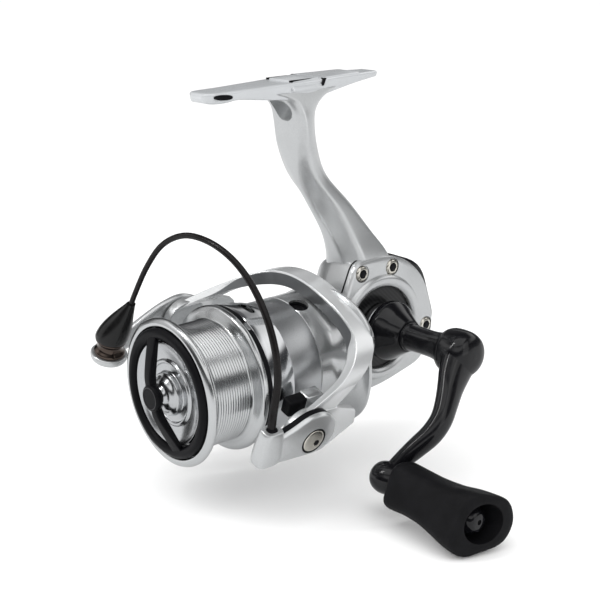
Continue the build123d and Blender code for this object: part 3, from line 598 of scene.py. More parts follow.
def knob():
    """The rubber grip, waisted and wider at its slanted end, and the cap in its recess."""
    ky, kz = arm_tip()
    # x, how far the section leans along x, then six corners about the knob's axis
    keys = [
        (49.3, 0.0, -3.2, 6.6, 4.6, 4.8, 5.6, -2.0, 2.4, -5.4, -4.4, -5.0, -6.8, -2.6),
        (50.0, 0.0, -3.9, 7.8, 5.8, 5.8, 6.8, -2.4, 2.8, -6.6, -5.0, -6.2, -8.2, -3.0),
        (56.0, 0.0, -3.6, 7.3, 5.8, 5.4, 7.2, -2.2, 3.0, -6.4, -5.2, -6.0, -8.2, -2.8),
        (62.0, 0.0, -3.4, 6.8, 6.0, 4.8, 7.6, -2.2, 3.4, -6.8, -5.4, -6.6, -8.6, -3.0),
        (68.0, 0.1, -3.2, 7.0, 7.0, 4.4, 8.6, -2.6, 4.8, -8.0, -5.4, -8.4, -8.8, -4.2),
        (73.0, 0.2, -2.8, 7.7, 8.6, 4.4, 10.2, -3.0, 6.6, -9.2, -5.2, -10.2, -9.2, -5.4),
        (77.0, 0.28, -2.4, 8.1, 9.6, 4.0, 11.4, -3.4, 7.8, -9.8, -4.8, -11.2, -9.2, -6.0),
        (78.6, 0.3, -2.4, 7.8, 9.4, 3.8, 11.0, -3.4, 7.6, -9.4, -4.6, -10.8, -8.8, -6.0),
        (79.4, 0.3, -2.2, 6.2, 7.8, 3.0, 9.2, -3.0, 6.2, -7.8, -3.6, -9.0, -7.4, -5.4),
    ]
    rings = []
    for x, lean, *corners in between(keys, 6):
        section = corner_arcs([(corners[i], corners[i + 1], 4.2) for i in range(0, 12, 2)], 7)
        rings.append([(x + lean * (y - 1.0), ky + y, kz + z) for y, z in section])
    grip = skin("knob_grip_moulded", rings, "knob", "grip_rubber", ["knob_grip"], angle=50)
    centre = (0.0, ky + 1.0, kz - 1.6)
    cut(grip, [helper("knob_recess", [local(circle(5.8, x, 48), "x", centre) for x in (72.6, 84.0)])])
    lathe("knob_cap_turned",
          [(0.01, 72.7, 0), (5.75, 72.7, 0.1), (5.75, 73.6, 0.3), (4.9, 74.2, 0.3), (4.4, 75.2, 0.6),
           (2.9, 77.4, 0.8), (2.2, 77.8, 0.3), (0.7, 77.9, 0.1), (0.6, 77.2, 0.1), (0.01, 77.2, 0)],
          "knob", "gloss_black_plastic", "x", centre, ["knob_cap"])


# ---------------------------------------------------------------- rotor
ROTOR_R = 19.2
ARM_A = 31.4
ARM_B = 24.6
ARM_THICK = 2.1
BAIL_Y = 27.0
HOOP_STEPS = 200
BALANCE_ANGLE = 91.5
BALANCE_Y = 44.9


def rotor_plan(angle, inset=0.0):
    """The rotor's outline seen along the spool axis, squarer on the bail holder's side."""
    power = 2 / 2.8 if math.cos(angle) > 0 else 1.0
    across = math.copysign(abs(math.cos(angle)) ** power, math.cos(angle))
    height = math.copysign(abs(math.sin(angle)) ** power, math.sin(angle))
    return (ARM_A - inset) * across, (ARM_B - inset) * height


def rotor_rim(angle):
    """How far the cup's flared rim reaches: out to the hoop on the upper near side only."""
    turn = math.degrees(angle)
    x, z = rotor_plan(angle, 0.5)
    full = math.hypot(x, z)
    if turn > 180:
        return 24.0 + 3.4 * smooth((turn - 318) / 40)
    if turn < 24:
        return 27.4
    if turn < 46:
        return 27.4 + (full - 27.4) * smooth((turn - 24) / 22)
    if turn < 92:
        return full
    if turn < 104:
        return full + (19.6 - full) * smooth((turn - 92) / 12)
    if turn < 158:
        return 19.6
    return 19.6 + 4.4 * smooth((turn - 158) / 22)


def smooth(t):
    t = min(1.0, max(0.0, t))
    return t * t * (3 - 2 * t)


# Front and rear edges of the rotor band, as (height from the bail hinge, y).
BAND_FRONT = [(0.0, 20.4), (5.2, 22.6), (9.0, 30.5), (14.0, 40.6), (20.0, 47.2), (25.0, 48.6)]
BAND_REAR = [(0.0, 35.2), (5.6, 36.8), (10.6, 43.4), (15.2, 49.8), (19.7, 53.8), (24.6, 55.4)]


def edge_at(table, height):
    """Smooth value of an edge table, mirrored below the hinge."""
    height = abs(height)
    mirrored = [(-table[1][0], table[1][1])] + table + [(2 * table[-1][0] - table[-2][0], table[-1][1] + 0.2)]
    for (h0, v0), (h1, v1), (h2, v2), (h3, v3) in zip(mirrored, mirrored[1:], mirrored[2:], mirrored[3:]):
        if height <= h2 or (h2, v2) == table[-1]:
            f = min(1.0, (height - h1) / (h2 - h1))
            m1 = (v2 - v0) / (h2 - h0) * (h2 - h1)
            m2 = (v3 - v1) / (h3 - h1) * (h2 - h1)
            return ((2 * f ** 3 - 3 * f ** 2 + 1) * v1 + (f ** 3 - 2 * f ** 2 + f) * m1
                    + (3 * f ** 2 - 2 * f ** 3) * v2 + (f ** 3 - f ** 2) * m2)
    return table[-1][1]


def hoop_wall(index, extra=0.0):
    """The (a, b) points of the hoop's outer and inner face at one step of its arch."""
    angle = math.pi * index / HOOP_STEPS
    outer = rotor_plan(angle)
    inner = rotor_plan(angle, ARM_THICK + 2.3 * smooth((outer[1] - 6.0) / 16.0) + extra)
    return outer, inner


def across_wall(outer, inner, section):
    """Ring of (depth, y) points, where the depth runs from 0 on the outer face to 1 on the inner one."""
    return in_rotor([(outer[0] + (inner[0] - outer[0]) * depth, y, outer[1] + (inner[1] - outer[1]) * depth)
                     for depth, y in section])


def rotor_band():
    """One hoop from arm to arm over the top, a dark skin of painted shade on its front face, and the two arm
    plates.
    """
    rings = []
    for index in range(HOOP_STEPS + 1):
        outer, inner = hoop_wall(index)
        front, rear = edge_at(BAND_FRONT, outer[1]), edge_at(BAND_REAR, outer[1])
        section = [(0.0, front, 0.25), (0.0, rear, 0.3), (1.0, rear, 0.25), (1.0, front, 0.25)]
        rings.append(across_wall(outer, inner, corner_arcs(section, 3)))
    skin("rotor_band", rings, "rotor_body", "band_paint", angle=40)

    # A thin dark skin over the upper part of the hoop's front face: painted shade, the same paint made darker
    # to stand in for the dark surroundings that face reflects.
    first, last, taper = 50, 175, 16
    shade = []
    for index in range(first, last + 1):
        outer, inner = hoop_wall(index, 0.05)
        front = edge_at(BAND_FRONT, outer[1])
        low = 0.96 - 0.82 * smooth(min(index - first, last - index) / taper)
        section = [(low - 0.02, front + 0.1), (low, front - 0.05), (1.0, front - 0.05), (1.0, front + 5.6),
                   (0.96, front + 5.6), (0.94, front + 0.1)]
        shade.append(across_wall(outer, inner, section))
    skin("hoop_front_painted_shade", shade, "rotor_body", "hoop_shade", angle=40)

    outline = corner_arcs([(20.9, 0.3, 3.0), (22.4, -5.4, 4.0), (27.0, -8.2, 3.0), (34.7, -9.2, 1.6),
                           (46.3, -2.6, 0.8), (45.5, 2.9, 1.5), (37.2, 6.0, 1.0), (27.0, 7.0, 3.0)], 5)
    levels = ((ARM_A - ARM_THICK, 0.0), (ARM_A - 0.4, 0.0), (ARM_A - 0.1, 0.15), (ARM_A, 0.4))
    for sign, name in ((1, "arm_near"), (-1, "arm_far")):
        skin(name, plate_rings(outline, levels, sign), "rotor_body", "band_paint", angle=40)


def rotor_cup():
    """The cup: a cylinder whose back flares out to meet the hoop."""
    rings = []
    count = 288
    for index in range(count):
        angle = 2 * math.pi * index / count
        reach = rotor_rim(angle)
        heading = (math.cos(angle), math.sin(angle))
        section = [(3.12, 31.2), (17.3, 31.2), (17.4, 31.5), (18.3, 31.5), (18.3, 42.34), (18.95, 42.36),
                   (ROTOR_R, 42.55)]
        for step in range(1, 13):
            bend = math.radians(7.5 * step)
            section.append((ROTOR_R + (reach - ROTOR_R) * (1 - math.cos(bend)) ** 1.15,
                            45.0 + 8.6 * math.sin(bend)))
        tail = min(1.0, (reach - 19.0) / 4.0)
        for step in range(1, 7):
            bend = math.radians(15 * step)
            section.append((reach - 3.0 * tail * (1 - math.cos(bend)), 53.8 + 2.4 * math.sin(bend)))
        section += [(min(20.0, reach - 3.2 * tail - 0.3), 55.2), (18.2, 50.0), (17.4, 45.6), (17.4, 33.6),
                    (3.12, 33.6)]
        rings.append(in_rotor([(r * heading[0], y, r * heading[1]) for r, y in section]))
    cup = skin("rotor_cup", rings, "rotor_body", "rotor_paint", replaces=["rotor"], closed=True, angle=40)
    cut(cup, [helper("balance_hole", on_cup((3.0, 15.0), (3.0, 32.0)))])
    for sign, name in ((1, "pivot_boss_near"), (-1, "pivot_boss_far")):
        low, high = sign * (ARM_A - 3.0), sign * (ARM_A + 0.1)
        lathe(name, [(1.5, low, 0.0), (7.0, low, 0.3), (7.0, high, 0.4), (1.5, high, 0.0)],
              "rotor_body", "painted_body", "x", (0.0, BAIL_Y, 0.0), turn=True)


def on_cup(*sizes):
    """Round rings of (radius, distance from the spool axis), stood on the cup at the balance screw."""
    return [in_rotor(standing(circle(size, radius), BALANCE_ANGLE, BALANCE_Y)) for size, radius in sizes]


def rotor_trim():
    """The cup's front ring, the balance screw in its hole, and the cover over the bail spring."""
    lathe("rotor_front_ring",
          [(18.32, 31.4, 0.1), (18.9, 31.4, 0.2), (ROTOR_R, 31.8, 0.2), (ROTOR_R, 42.22, 0.12),
           (18.32, 42.22, 0)],
          "rotor_body", "satin_aluminium", replaces=["rotor_ring"], turn=True, segments=192)
    skin("balance_socket", on_cup((2.97, 16.0), (2.97, 18.3), (2.75, 18.4), (2.5, 17.4), (0.6, 17.3)),
         "rotor_body", "black_metal", angle=30)
    skin("balance_drive", on_cup((1.5, 17.1), (1.5, 17.55)), "rotor_body", "black_plastic",
         ["balance_screw"], angle=30)
    for name, slot, front, rear, size in (("spring_cover_moulded", "black_plastic", 23.6, 29.6, 0.3),
                                          ("spring_housing", "rotor_paint", 29.6, 35.4, 0.0)):
        rings = []
        for y, inset in ((front, size + 0.5), (front + 0.3, size + 0.1), (front + 0.6, size), (rear, size)):
            section = corner_arcs([(22.3 + inset, 2.6 + inset, 0.5), (26.6 - inset, 2.6 + inset, 0.5),
                                   (26.6 - inset, 8.2 - inset, 0.5), (22.3 + inset, 8.2 - inset, 0.5)], 4)
            rings.append(in_rotor([(a, y, b) for a, b in section]))
        skin(name, rings, "rotor_body", slot, ["bail_spring_cover"] if size else [], angle=40)


def pivot_bolts():
    """The two bail hinge bolts, each with a black ring and a black hexagon as painted shade of its socket."""
    hinge = (0.0, BAIL_Y, 0.0)
    hexagon = [(math.cos(math.radians(60 * i)), math.sin(math.radians(60 * i)), 0.1) for i in range(6)]
    for sign, bolt in ((1, "pivot_bolt_near"), (-1, "pivot_bolt_far")):
        lathe(bolt + "_turned",
              [(0.01, sign * 33.0, 0), (3.6, sign * 33.0, 0.1), (3.6, sign * 35.1, 0.25),
               (3.1, sign * 35.25, 0.3), (0.01, sign * 35.3, 0)],
              "rotor_body", "nickel", "x", hinge, [bolt], turn=True)
        lathe(bolt + "_ring",
              [(3.62, sign * 34.2, 0), (4.15, sign * 34.2, 0.05), (4.15, sign * 35.06, 0.1),
               (3.62, sign * 35.06, 0.05)],
              "rotor_body", "black_plastic", "x", hinge, turn=True)
        # The socket is a black hexagon on the head: painted shade, not a cut hole.
        slab(bolt + "_socket", hexagon, sign * 35.2, sign * 35.38, "rotor_body", "black_plastic", "x",
             (0.0, BAIL_Y + 1.0, -0.8), 0.02, turn=True)


# ---------------------------------------------------------------- bail
POST = (33.2, 11.5)


def bail_holder():
    """A link round the hinge bolt that carries the wire's socket post."""
    link = corner_arcs([(34.6, -1.0, 3.0), (34.9, 4.4, 3.5), (30.5, 8.8, 3.5), (24.6, 9.0, 3.0),
                        (18.4, 6.0, 3.0), (10.8, 3.6, 0.8), (10.8, -3.4, 0.8), (16.0, -4.1, 2.0),
                        (28.6, -5.1, 2.0), (32.4, -4.2, 2.0)], 6)
    levels = ((33.3, 0.3), (33.5, 0.0), (34.35, 0.0), (34.85, 0.25), (35.05, 0.8))
    plate = skin("bail_link", plate_rings(link, levels), "bail", "painted_body", ["bail_holder"], angle=40)
    cut(plate, [bolt_well(34.0, 36.0)])
    # A black slab between the link and the rotor arm, a little wider than the link: a painted shadow line
    # round the link's edge.
    skin("link_painted_shadow_line", plate_rings(link, ((31.6, -0.1), (33.3, -0.1))), "bail", "black_plastic", angle=40)

    def post_ring(width, depth, power, b, count):
        return in_rotor([(POST[0] + v, POST[1] + u, b) for u, v in oval(width, depth, power, count)])

    rings = []
    for b, width, depth in between([(-3.6, 5.4, 3.8), (-3.3, 7.2, 5.0), (-2.2, 7.9, 5.5), (0.0, 8.0, 5.7),
                                    (4.0, 7.4, 5.4), (7.2, 6.4, 5.0), (8.0, 5.6, 4.4)], 4):
        rings.append(post_ring(width, depth, 3.6, b, 48))
    post = skin("bail_post", rings, "bail", "painted_body", angle=50)
    cut(post, [helper("post_mouth", [post_ring(3.5, 2.9, 2.6, b, 32) for b in (6.2, 10.0)])])
    collar = [post_ring(3.3 * size, 2.7 * size, 2.6, b, 32)
              for b, size in ((6.3, 1.0), (8.1, 0.96), (8.4, 0.84))]
    skin("wire_grommet", collar, "bail", "black_plastic", angle=40)


def bail_wire():
    """The wire as a tube that thins towards the line cone."""
    def on_plane(a, b):
        return (a, 7.5 + 0.143 * a + 0.105 * b, b)

    keys = [(-28.4, 4.7, 11.0), on_plane(-27.9, 15.5), on_plane(-26.0, 26.0), on_plane(-22.4, 35.2),
            on_plane(-15.6, 41.8), on_plane(-6.6, 44.6), on_plane(3.0, 44.2), on_plane(11.8, 40.8),
            on_plane(19.6, 34.8), on_plane(25.4, 27.7), on_plane(28.9, 20.5), (30.9, 12.7, 13.6),
            (32.4, 11.8, 9.4), (POST[0], POST[1], 6.0)]
    path = between(keys, 8)
    rings = []
    for index, point in enumerate(path):
        here = Vector(point)
        heading = (Vector(path[min(index + 1, len(path) - 1)]) - Vector(path[max(index - 1, 0)])).normalized()
        side = heading.cross(Vector((0.0, 1.0, 0.0))).normalized()
        up = side.cross(heading)
        radius = 0.82 + 0.42 * (index / len(path)) ** 1.6
        rings.append(in_rotor([tuple(here + side * u + up * v) for u, v, _ in circle(radius, 0, 20)]))
    skin("bail_wire_bent", rings, "bail", "wire_black", ["bail_wire"], angle=60)


ROLLER_A = -31.4
ROLLER_Y = 1.7


def line_cone():
    """The drop-shaped cone between the wire and the line roller."""
    length = 13.6
    # height, width, depth
    keys = [(0.0, 9.7, 9.7), (0.35, 9.9, 9.9), (1.6, 9.9, 9.9), (4.0, 9.3, 9.0), (7.0, 7.6, 7.2),
            (10.0, 5.4, 5.0), (12.6, 3.3, 3.3), (length, 2.7, 2.7)]
    rings = []
    for t, width, depth in between(keys, 5):
        shift = 3.0 * (t / length) ** 1.2
        rings.append(in_rotor([(ROLLER_A + shift + u, ROLLER_Y + shift + v, t - 1.7)
                               for u, v in oval(width, depth, 2.0, 48)]))
    skin("line_cone_moulded", rings, "bail", "cone_black", ["line_cone"], angle=50)


def line_roller():
    """The turning roller, and the fixed seat and screw head behind it."""
    centre = (ROLLER_A, ROLLER_Y, 0.0)
    lathe("line_roller_turned",
          [(2.65, -6.75, 0), (4.75, -6.75, 0.15), (4.75, -6.0, 0.3), (3.9, -4.9, 0.6), (3.8, -3.9, 0.6),
           (4.1, -3.0, 0.5), (4.75, -2.3, 0.3), (4.75, -1.9, 0.15), (2.65, -1.9, 0)],
          "roller", "dark_bronze", "z", centre, ["line_roller"], turn=True)
    lathe("roller_seat",
          [(1.3, -9.4, 0), (4.9, -9.4, 0.8), (5.6, -8.4, 0.5), (5.6, -7.2, 0.2), (5.2, -6.95, 0.1),
           (1.3, -6.95, 0)],
          "bail", "painted_body", "z", centre, turn=True)
    lathe("roller_screw_head", [(0.01, -10.2, 0), (2.2, -10.1, 0.3), (2.4, -9.4, 0.1), (0.01, -9.4, 0)],
          "bail", "black_metal", "z", centre, ["roller_screw"], turn=True)


def bail_lever():
    """The far arm of the bail, from its hinge to the line roller."""
    # distance in front of the hinge, b, width, a, thickness
    keys = [(-7.0, 0.0, 6.0, -32.9, 1.6), (-6.2, 0.0, 9.0, -33.1, 2.4), (0.0, 0.0, 13.6, -33.2, 2.6),
            (6.0, -0.6, 12.6, -33.2, 2.6), (12.0, -2.4, 10.0, -33.3, 2.6), (18.0, -5.0, 7.2, -33.3, 2.6),
            (22.4, -7.6, 4.8, -33.2, 2.6)]
    rings = [in_rotor([(a + v, BAIL_Y - along, b + u) for u, v in oval(width, thick, 4.0, 40)])
             for along, b, width, a, thick in between(keys, 5)]
    lever = skin("bail_lever_forged", rings, "bail", "painted_body", ["bail_lever"], angle=50)
    cut(lever, [bolt_well(-36.0, -33.7)])


# ---------------------------------------------------------------- body
CASE_OUTLINE = [
    (65.4, 27.6, 3.0), (81.4, 28.0, 8.0), (94.3, 19.4, 8.0), (99.4, 2.0, 10.0),
    (94.8, -9.8, 9.0), (74.0, -14.7, 8.0), (58.6, -14.5, 3.0), (59.6, 15.0, 4.0),
]
COVER_X = 7.0
COVER_FACE_X = 9.6
SCREW_PLACES = [(67.6, 23.8), (80.2, 23.6), (95.0, 1.4)]


def case_ring(x, inset):
    """The case's outline at x, drawn in towards its middle."""
    middle_y, middle_z = 78.0, 6.0
    ring = []
    for y, z in corner_arcs(CASE_OUTLINE, 6):
        reach = math.hypot(y - middle_y, z - middle_z)
        size = (reach - inset) / reach
        ring.append((x, middle_y + (y - middle_y) * size, middle_z + (z - middle_z) * size))
    return ring


def body():
    """The domed case, the round ring at its front and the neck inside the rotor."""
    dome = ((-11.5, 7.4), (-11.2, 6.0), (-10.4, 4.6), (-9.0, 3.2), (-7.0, 2.0), (-4.0, 0.8), (-1.0, 0.1),
            (COVER_X - 0.06, 0.0))
    skin("case_shell", [case_ring(x, inset) for x, inset in dome], "frame", "painted_body", ["body_frame"],
         angle=30)
    lathe("case_front_ring",
          [(0.01, 57.2, 0), (17.2, 57.2, 0.4), (17.9, 58.0, 0.4), (17.9, 60.6, 0.1), (0.01, 60.6, 0)],
          "frame", "painted_body", segments=160)
    lathe("case_neck", [(11.5, 46.5, 0.1), (13.4, 46.5, 0.3), (13.6, 57.3, 0.1), (11.5, 57.3, 0.1)],
          "frame", "painted_body")


def side_cover():
    """The cover plate with its gasket, ring, screws and woven bearing plate."""
    gasket = [case_ring(COVER_X + x, inset)
              for x, inset in ((-0.2, 0.0), (-0.15, -0.13), (0.3, -0.13), (0.35, 0.0))]
    skin("cover_gasket", gasket, "frame", "black_plastic")
    rings = [case_ring(COVER_X + 0.2, 0.3), case_ring(COVER_X + 0.35, 0.0),
             case_ring(COVER_FACE_X - 1.0, 0.0), case_ring(COVER_FACE_X - 0.35, 0.35),
             case_ring(COVER_FACE_X, 1.1)]
    cover = skin("side_cover_cast", rings, "frame", "painted_body", ["side_cover"], angle=30)
    cut(cover, [helper("cover_bore", [local(circle(13.4, x, 72), "x", CRANK) for x in (0.0, 20.0)])])
    for index, (y, z) in enumerate(SCREW_PLACES):
        cut(cover, [helper("screw_well", [local(circle(2.75, x, 32), "x", (0, y, z))
                                          for x in (COVER_FACE_X - 1.2, 20.0)])])
        screw(f"case_screw_{index}", y, z)
    lathe("cover_ring",
          [(13.3, 8.0, 0), (13.3, COVER_FACE_X + 0.5, 0.3), (14.4, COVER_FACE_X + 1.3, 0.5),
           (16.1, COVER_FACE_X + 1.3, 0.6), (16.9, COVER_FACE_X + 0.2, 0.3), (16.9, 8.0, 0)],
          "frame", "painted_body", "x", CRANK, segments=160, steps=5)
    lathe("bearing_plate_woven",
          [(6.2, COVER_FACE_X - 1.3, 0), (13.25, COVER_FACE_X - 1.3, 0), (13.25, COVER_FACE_X - 0.5, 0.1),
           (12.2, COVER_FACE_X - 0.35, 0.2), (6.9, COVER_FACE_X - 0.35, 0.2),
           (6.2, COVER_FACE_X - 0.5, 0.1)],
          "frame", "carbon_black", "x", CRANK, ["bearing_plate"])


def screw(name, y, z):
    """A cover screw with a star-shaped socket, filled with a black star as painted shade."""
    face = COVER_FACE_X - 0.15
    lathe(name,
          [(0.01, face - 1.0, 0), (2.45, face - 1.0, 0), (2.45, face - 0.3, 0.15), (2.1, face + 0.3, 0.3),
           (1.4, face + 0.5, 0.15), (1.2, face - 0.1, 0), (0.01, face - 0.2, 0)],
          "frame", "nickel", "x", (0.0, y, z), ["case_screws"] if name.endswith("0") else [], segments=48)
    # The black star is painted shade: it fills the socket rather than leaving a dark hole.
    points = []
    for index in range(12):
        radius = 1.6 if index % 2 == 0 else 0.95
        angle = math.radians(30 * index)
        points.append((radius * math.cos(angle), radius * math.sin(angle), 0.25))
    slab(name + "_drive", points, face - 0.4, face + 0.5, "frame", "black_plastic", "x", (0.0, y, z), 0.02)


STEM_KEYS = [
    # z, then half width and y of the front, widest, rear and back corners
    (22.0, 5.0, 65.0, 9.4, 69.2, 9.2, 80.5, 5.0, 84.0),
    (28.0, 3.6, 64.8, 8.8, 68.6, 8.6, 79.4, 3.6, 82.3),
    (36.0, 2.2, 61.4, 7.6, 65.6, 6.4, 73.8, 2.8, 76.4),
    (45.0, 1.4, 55.8, 7.0, 60.6, 5.4, 66.4, 2.4, 69.2),
    (55.0, 1.6, 50.2, 7.0, 52.4, 5.6, 56.4, 2.4, 60.0),
    (64.0, 4.4, 47.6, 7.6, 49.2, 6.6, 51.8, 2.8, 56.4),
    (72.0, 5.6, 46.8, 7.7, 48.4, 6.8, 51.2, 2.8, 55.6),
    (76.0, 5.4, 45.6, 7.2, 47.2, 6.8, 52.2, 3.0, 56.6),
    (79.0, 4.8, 42.4, 6.9, 44.6, 6.9, 55.4, 3.2, 59.8),
    (81.2, 4.4, 36.0, 6.6, 39.0, 6.8, 60.0, 3.4, 66.0),
]


def stem():
    """The waisted stem from the case up to the foot, hollowed under the foot's front."""
    rings = []
    for z, fw, fy, ww, wy, rw, ry, bw, by in between(STEM_KEYS, 6):
        right = [(fw, fy, 1.2), (ww, wy, 1.6), (rw, ry, 1.6), (bw, by, 1.2)]
        left = [(-p, q, r) for p, q, r in reversed(right)]
        rings.append([(p, q, z) for p, q in corner_arcs(right + left, 4)])
    stem_piece = skin("reel_stem", rings, "frame", "painted_body", angle=60)
    hollow = []
    for z, y, width, depth in ((71.0, 42.0, 5.0, 7.0), (73.6, 44.0, 7.0, 8.4), (76.4, 45.6, 8.2, 9.6),
                               (78.4, 46.2, 7.6, 9.6), (79.2, 46.2, 5.0, 7.0)):
        hollow.append([(u, y + v, z) for u, v in oval(width, depth, 2.6, 40)])
    cut(stem_piece, [helper("stem_hollow", hollow)])


def foot():
    """The foot: a long plate with upright sides, a rounded front lip and a raised pad on the seat."""
    # y, half width at the top, half width at the bottom, top z, bottom z
    keys = [(15.6, 2.6, 2.2, 83.0, 81.6), (16.2, 4.0, 3.4, 83.5, 80.9), (18.2, 4.9, 4.3, 83.6, 80.5),
            (22.0, 5.4, 4.9, 83.6, 80.5), (26.0, 5.6, 5.1, 83.6, 80.9), (32.0, 6.0, 5.5, 83.7, 80.3),
            (38.0, 6.4, 5.9, 83.8, 79.6), (44.0, 6.9, 6.3, 83.9, 79.2), (50.0, 7.1, 6.6, 84.0, 79.2),
            (56.0, 7.0, 6.4, 84.1, 79.4), (62.0, 6.4, 5.8, 84.1, 80.2), (68.0, 5.5, 5.0, 84.0, 81.0),
            (74.0, 4.6, 4.2, 83.9, 81.6), (78.8, 3.9, 3.5, 83.8, 82.0), (79.6, 3.7, 3.3, 83.8, 82.1),
            (79.8, 3.4, 3.0, 83.7, 82.2)]
    rings = []
    for y, wide, under, top, bottom in between(keys, 5):
        section = corner_arcs([(-under, bottom, 0.5), (under, bottom, 0.5), (wide, top - 0.5, 0.3),
                               (wide - 0.4, top, 0.3), (-wide + 0.4, top, 0.3), (-wide, top - 0.5, 0.3)], 3)
        rings.append([(p, y, q) for p, q in section])
    skin("foot_plate", rings, "frame", "foot_paint", angle=45)
    rings = []
    for z, inset in ((81.6, 0.0), (82.3, 0.0), (84.2, 1.7), (84.4, 2.1)):
        pad = corner_arcs([(-7.5 + inset, 43.8 + inset * 0.6, 0.6), (7.5 - inset, 43.8 + inset * 0.6, 0.6),
                           (7.5 - inset, 54.8, 0.3), (-7.5 + inset, 54.8, 0.3)], 4)
        rings.append([(p, q, z) for p, q in pad])
    skin("foot_pad", rings, "frame", "foot_paint", angle=25)
    rings = []
    for z, inset in ((82.9, 0.3), (84.2, 0.0), (84.4, 0.2)):
        rear = corner_arcs([(-6.7 + inset, 55.8, 0.3), (6.7 - inset, 55.8, 0.3),
                            (4.9 - inset, 71.6 - inset, 0.6), (-4.9 + inset, 71.6 - inset, 0.6)], 4)
        rings.append([(p, q, z) for p, q in rear])
    skin("foot_pad_rear", rings, "frame", "foot_paint", angle=40)
    for sign, side in ((1, "near"), (-1, "far")):
        # A black patch at each side of the pad's rear end: painted shade of a slot; no slot is cut.
        slot = corner_arcs([(sign * 6.0, 54.2, 0.2), (sign * 7.62, 54.2, 0.2), (sign * 7.62, 55.1, 0.2),
                            (sign * 6.0, 55.1, 0.2)], 2)
        skin("pad_slot_painted_shade_" + side, [[(p, q + (z - 82.0) * 0.5, z) for p, q in slot] for z in (82.2, 84.25)],
             "frame", "black_plastic", angle=30)
        # A thin black sliver on the pad's top near each edge: painted shade of a groove line; no groove is
        # cut.
        line = corner_arcs([(sign * 4.6, 44.6, 0.1), (sign * 5.9, 44.6, 0.1), (sign * 5.55, 52.2, 0.1),
                            (sign * 5.2, 52.2, 0.1)], 2)
        skin("pad_groove_painted_shade_" + side, [[(p, q, z) for p, q in line] for z in (83.9, 84.4)], "frame",
             "black_plastic", angle=30)
        # An oval black patch on each side near the front tip: painted shade of a recess; no recess is cut.
        shape = oval(6.0, 1.5, 2.4, 32, -4)
        dimple = [local([(u * size, v * size, x) for u, v in shape], "x", (0, 21.0, 82.2))
                  for x, size in ((sign * 4.4, 1.0), (sign * 5.42, 1.0), (sign * 5.45, 0.9))]
        skin("foot_dimple_painted_shade_" + side, dimple, "frame", "black_plastic", angle=30)


def rear_cover():
    """The glossy cover round the back of the case."""
    rings = []
    for x, lift in ((-8.3, 0.2), (-7.9, 1.5), (-6.8, 2.3), (5.4, 2.3), (6.4, 2.0), (6.8, 1.2)):
        outline = corner_arcs([(84.6, 25.4 + lift * 0.3, 0.5), (94.6 + lift * 0.7, 19.4 + lift * 0.9, 6.0),
                               (99.8 + lift, 2.0, 5.0), (97.0 + lift * 0.4, -4.4, 0.5), (95.0, -3.0, 0.5),
                               (96.4, 2.4, 3.0), (91.0, 17.6, 3.0), (84.0, 23.0, 0.5)], 5)
        rings.append([(x, y, z) for y, z in outline])
    skin("rear_cover_moulded", rings, "frame", "gloss_black_plastic", ["rear_cover"], angle=40)


def handle_cap():
    """The chrome cap on the side away from the handle."""
    lathe("handle_cap_turned",
          [(0.01, -14.2, 0), (4.4, -14.1, 0.6), (6.0, -13.2, 0.5), (6.0, -11.55, 0.1), (0.01, -11.55, 0)],
          "frame", "chrome", "x", CRANK, ["handle_cap"])


# ---------------------------------------------------------------- build
for build in (spool, line_clip, drag_knob, handle, knob, rotor_band, rotor_cup, rotor_trim, pivot_bolts,
              bail_holder, bail_wire, line_cone, line_roller, bail_lever, body, side_cover, stem, foot,
              rear_cover, handle_cap):
    build()


# ---------------------------------------------------------------- floor, light and camera
FLOOR_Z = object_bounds()[0][2] - 0.0003
# the camera's place in millimetres, its heading, focal length and roll, as fitted to the photo
CAMERA_PLACE = (287.7, -187.6, 131.5)
CAMERA_HEADING = (-0.737, 0.610, -0.293)
CAMERA_LENS = 77.1
CAMERA_ROLL = math.radians(-1.4)


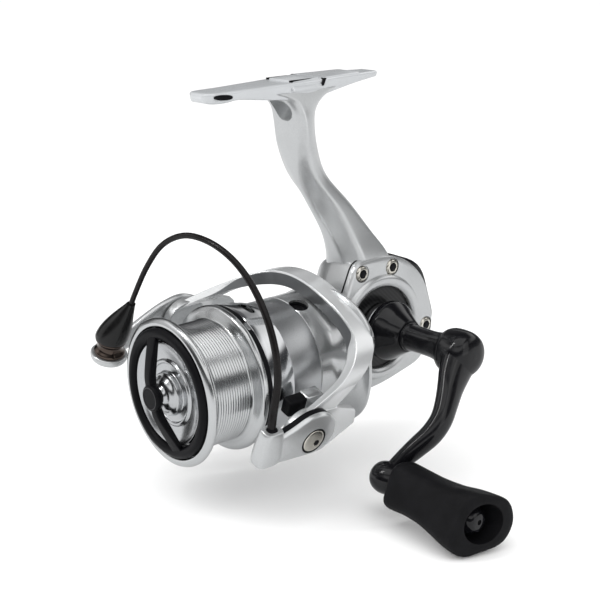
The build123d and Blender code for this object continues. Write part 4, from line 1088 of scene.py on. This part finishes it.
def studio():
    """The white floor, and a world that is white to the eye and a room to shiny surfaces."""
    bpy.ops.mesh.primitive_plane_add(size=6.0, location=(0.0, 0.0, FLOOR_Z))
    floor = bpy.context.object
    floor.name = "studio_floor"
    material, tree, shader = new_material("studio_floor", (0.95, 0.95, 0.948), 0.0, 0.6, specular=0.0)
    floor.data.materials.append(material)
    # the floor is white to the camera and as a light, and greyer in reflections, like a small sheet
    glossy = tree.nodes.new("ShaderNodeLightPath").outputs["Is Glossy Ray"]
    tree.links.new(mix(tree, glossy, (0.95, 0.95, 0.948, 1.0), (0.64, 0.645, 0.65, 1.0)),
                   shader.inputs["Base Color"])

    world = bpy.data.worlds.new("studio")
    world.use_nodes = True
    bpy.context.scene.world = world
    tree = world.node_tree
    background = tree.nodes["Background"]
    background.inputs["Strength"].default_value = 1.09
    place = tree.nodes.new("ShaderNodeTexCoord").outputs["Generated"]
    # shiny surfaces see a dim room with a bright ceiling panel and a pale lower wall
    room = ramp(tree, separate(tree, place)["Z"],
                [(0.0, (0.6, 0.6, 0.6)), (0.05, (0.16, 0.165, 0.17)), (0.2, (0.03, 0.032, 0.034)),
                 (0.34, (0.06, 0.06, 0.063)), (0.44, (0.9, 0.9, 0.9)), (0.66, (1.0, 1.0, 1.0)),
                 (0.76, (0.25, 0.255, 0.26)), (0.88, (0.12, 0.12, 0.125)), (1.0, (0.6, 0.6, 0.6))])
    side = ramp(tree, noise(tree, place, 1.3, 0.0, 0.4),
                [(0.36, (0.12, 0.12, 0.125)), (0.5, (0.8, 0.8, 0.8)), (0.66, (1.2, 1.2, 1.2))])
    glossy = tree.nodes.new("ShaderNodeLightPath").outputs["Is Glossy Ray"]
    seen = mix(tree, glossy, (1.0, 1.0, 1.0, 1.0), mix(tree, 1.0, room, side, "MULTIPLY"))
    tree.links.new(seen, background.inputs["Color"])


def area_light(name, place, aim, size, power):
    data = bpy.data.lights.new(name, "AREA")
    data.shape = "RECTANGLE"
    data.size, data.size_y = size
    data.energy = power
    light = bpy.data.objects.new(name, data)
    light.location = place
    light.rotation_euler = (Vector(aim) - Vector(place)).to_track_quat("-Z", "Y").to_euler()
    bpy.context.scene.collection.objects.link(light)


def camera():
    """Stands where the photo was taken from, with the same slight roll."""
    data = bpy.data.cameras.new("photo_camera")
    data.lens = CAMERA_LENS
    data.sensor_width = 36.0
    view = bpy.data.objects.new("photo_camera", data)
    view.location = mm(*CAMERA_PLACE)
    turn = Vector(CAMERA_HEADING).to_track_quat("-Z", "Y").to_matrix().to_4x4()
    view.rotation_euler = (turn @ Matrix.Rotation(CAMERA_ROLL, 4, "Z")).to_euler()
    bpy.context.scene.collection.objects.link(view)
    bpy.context.scene.camera = view


studio()
area_light("key_above", (0.1, -0.15, 0.55), (0.0, -0.03, -0.06), (0.7, 0.5), 1.3)
area_light("left_wall", (-0.55, -0.5, 0.15), (0.0, -0.03, -0.08), (0.5, 0.6), 0.6)
area_light("right_wall", (0.6, 0.1, 0.15), (0.02, 0.0, -0.08), (0.3, 0.6), 0.5)
area_light("strip_upper_left", (-0.18, -0.45, 0.42), (0.02, -0.03, -0.1), (0.02, 0.36), 0.8)
camera()

bpy.context.scene.view_settings.view_transform = "Standard"
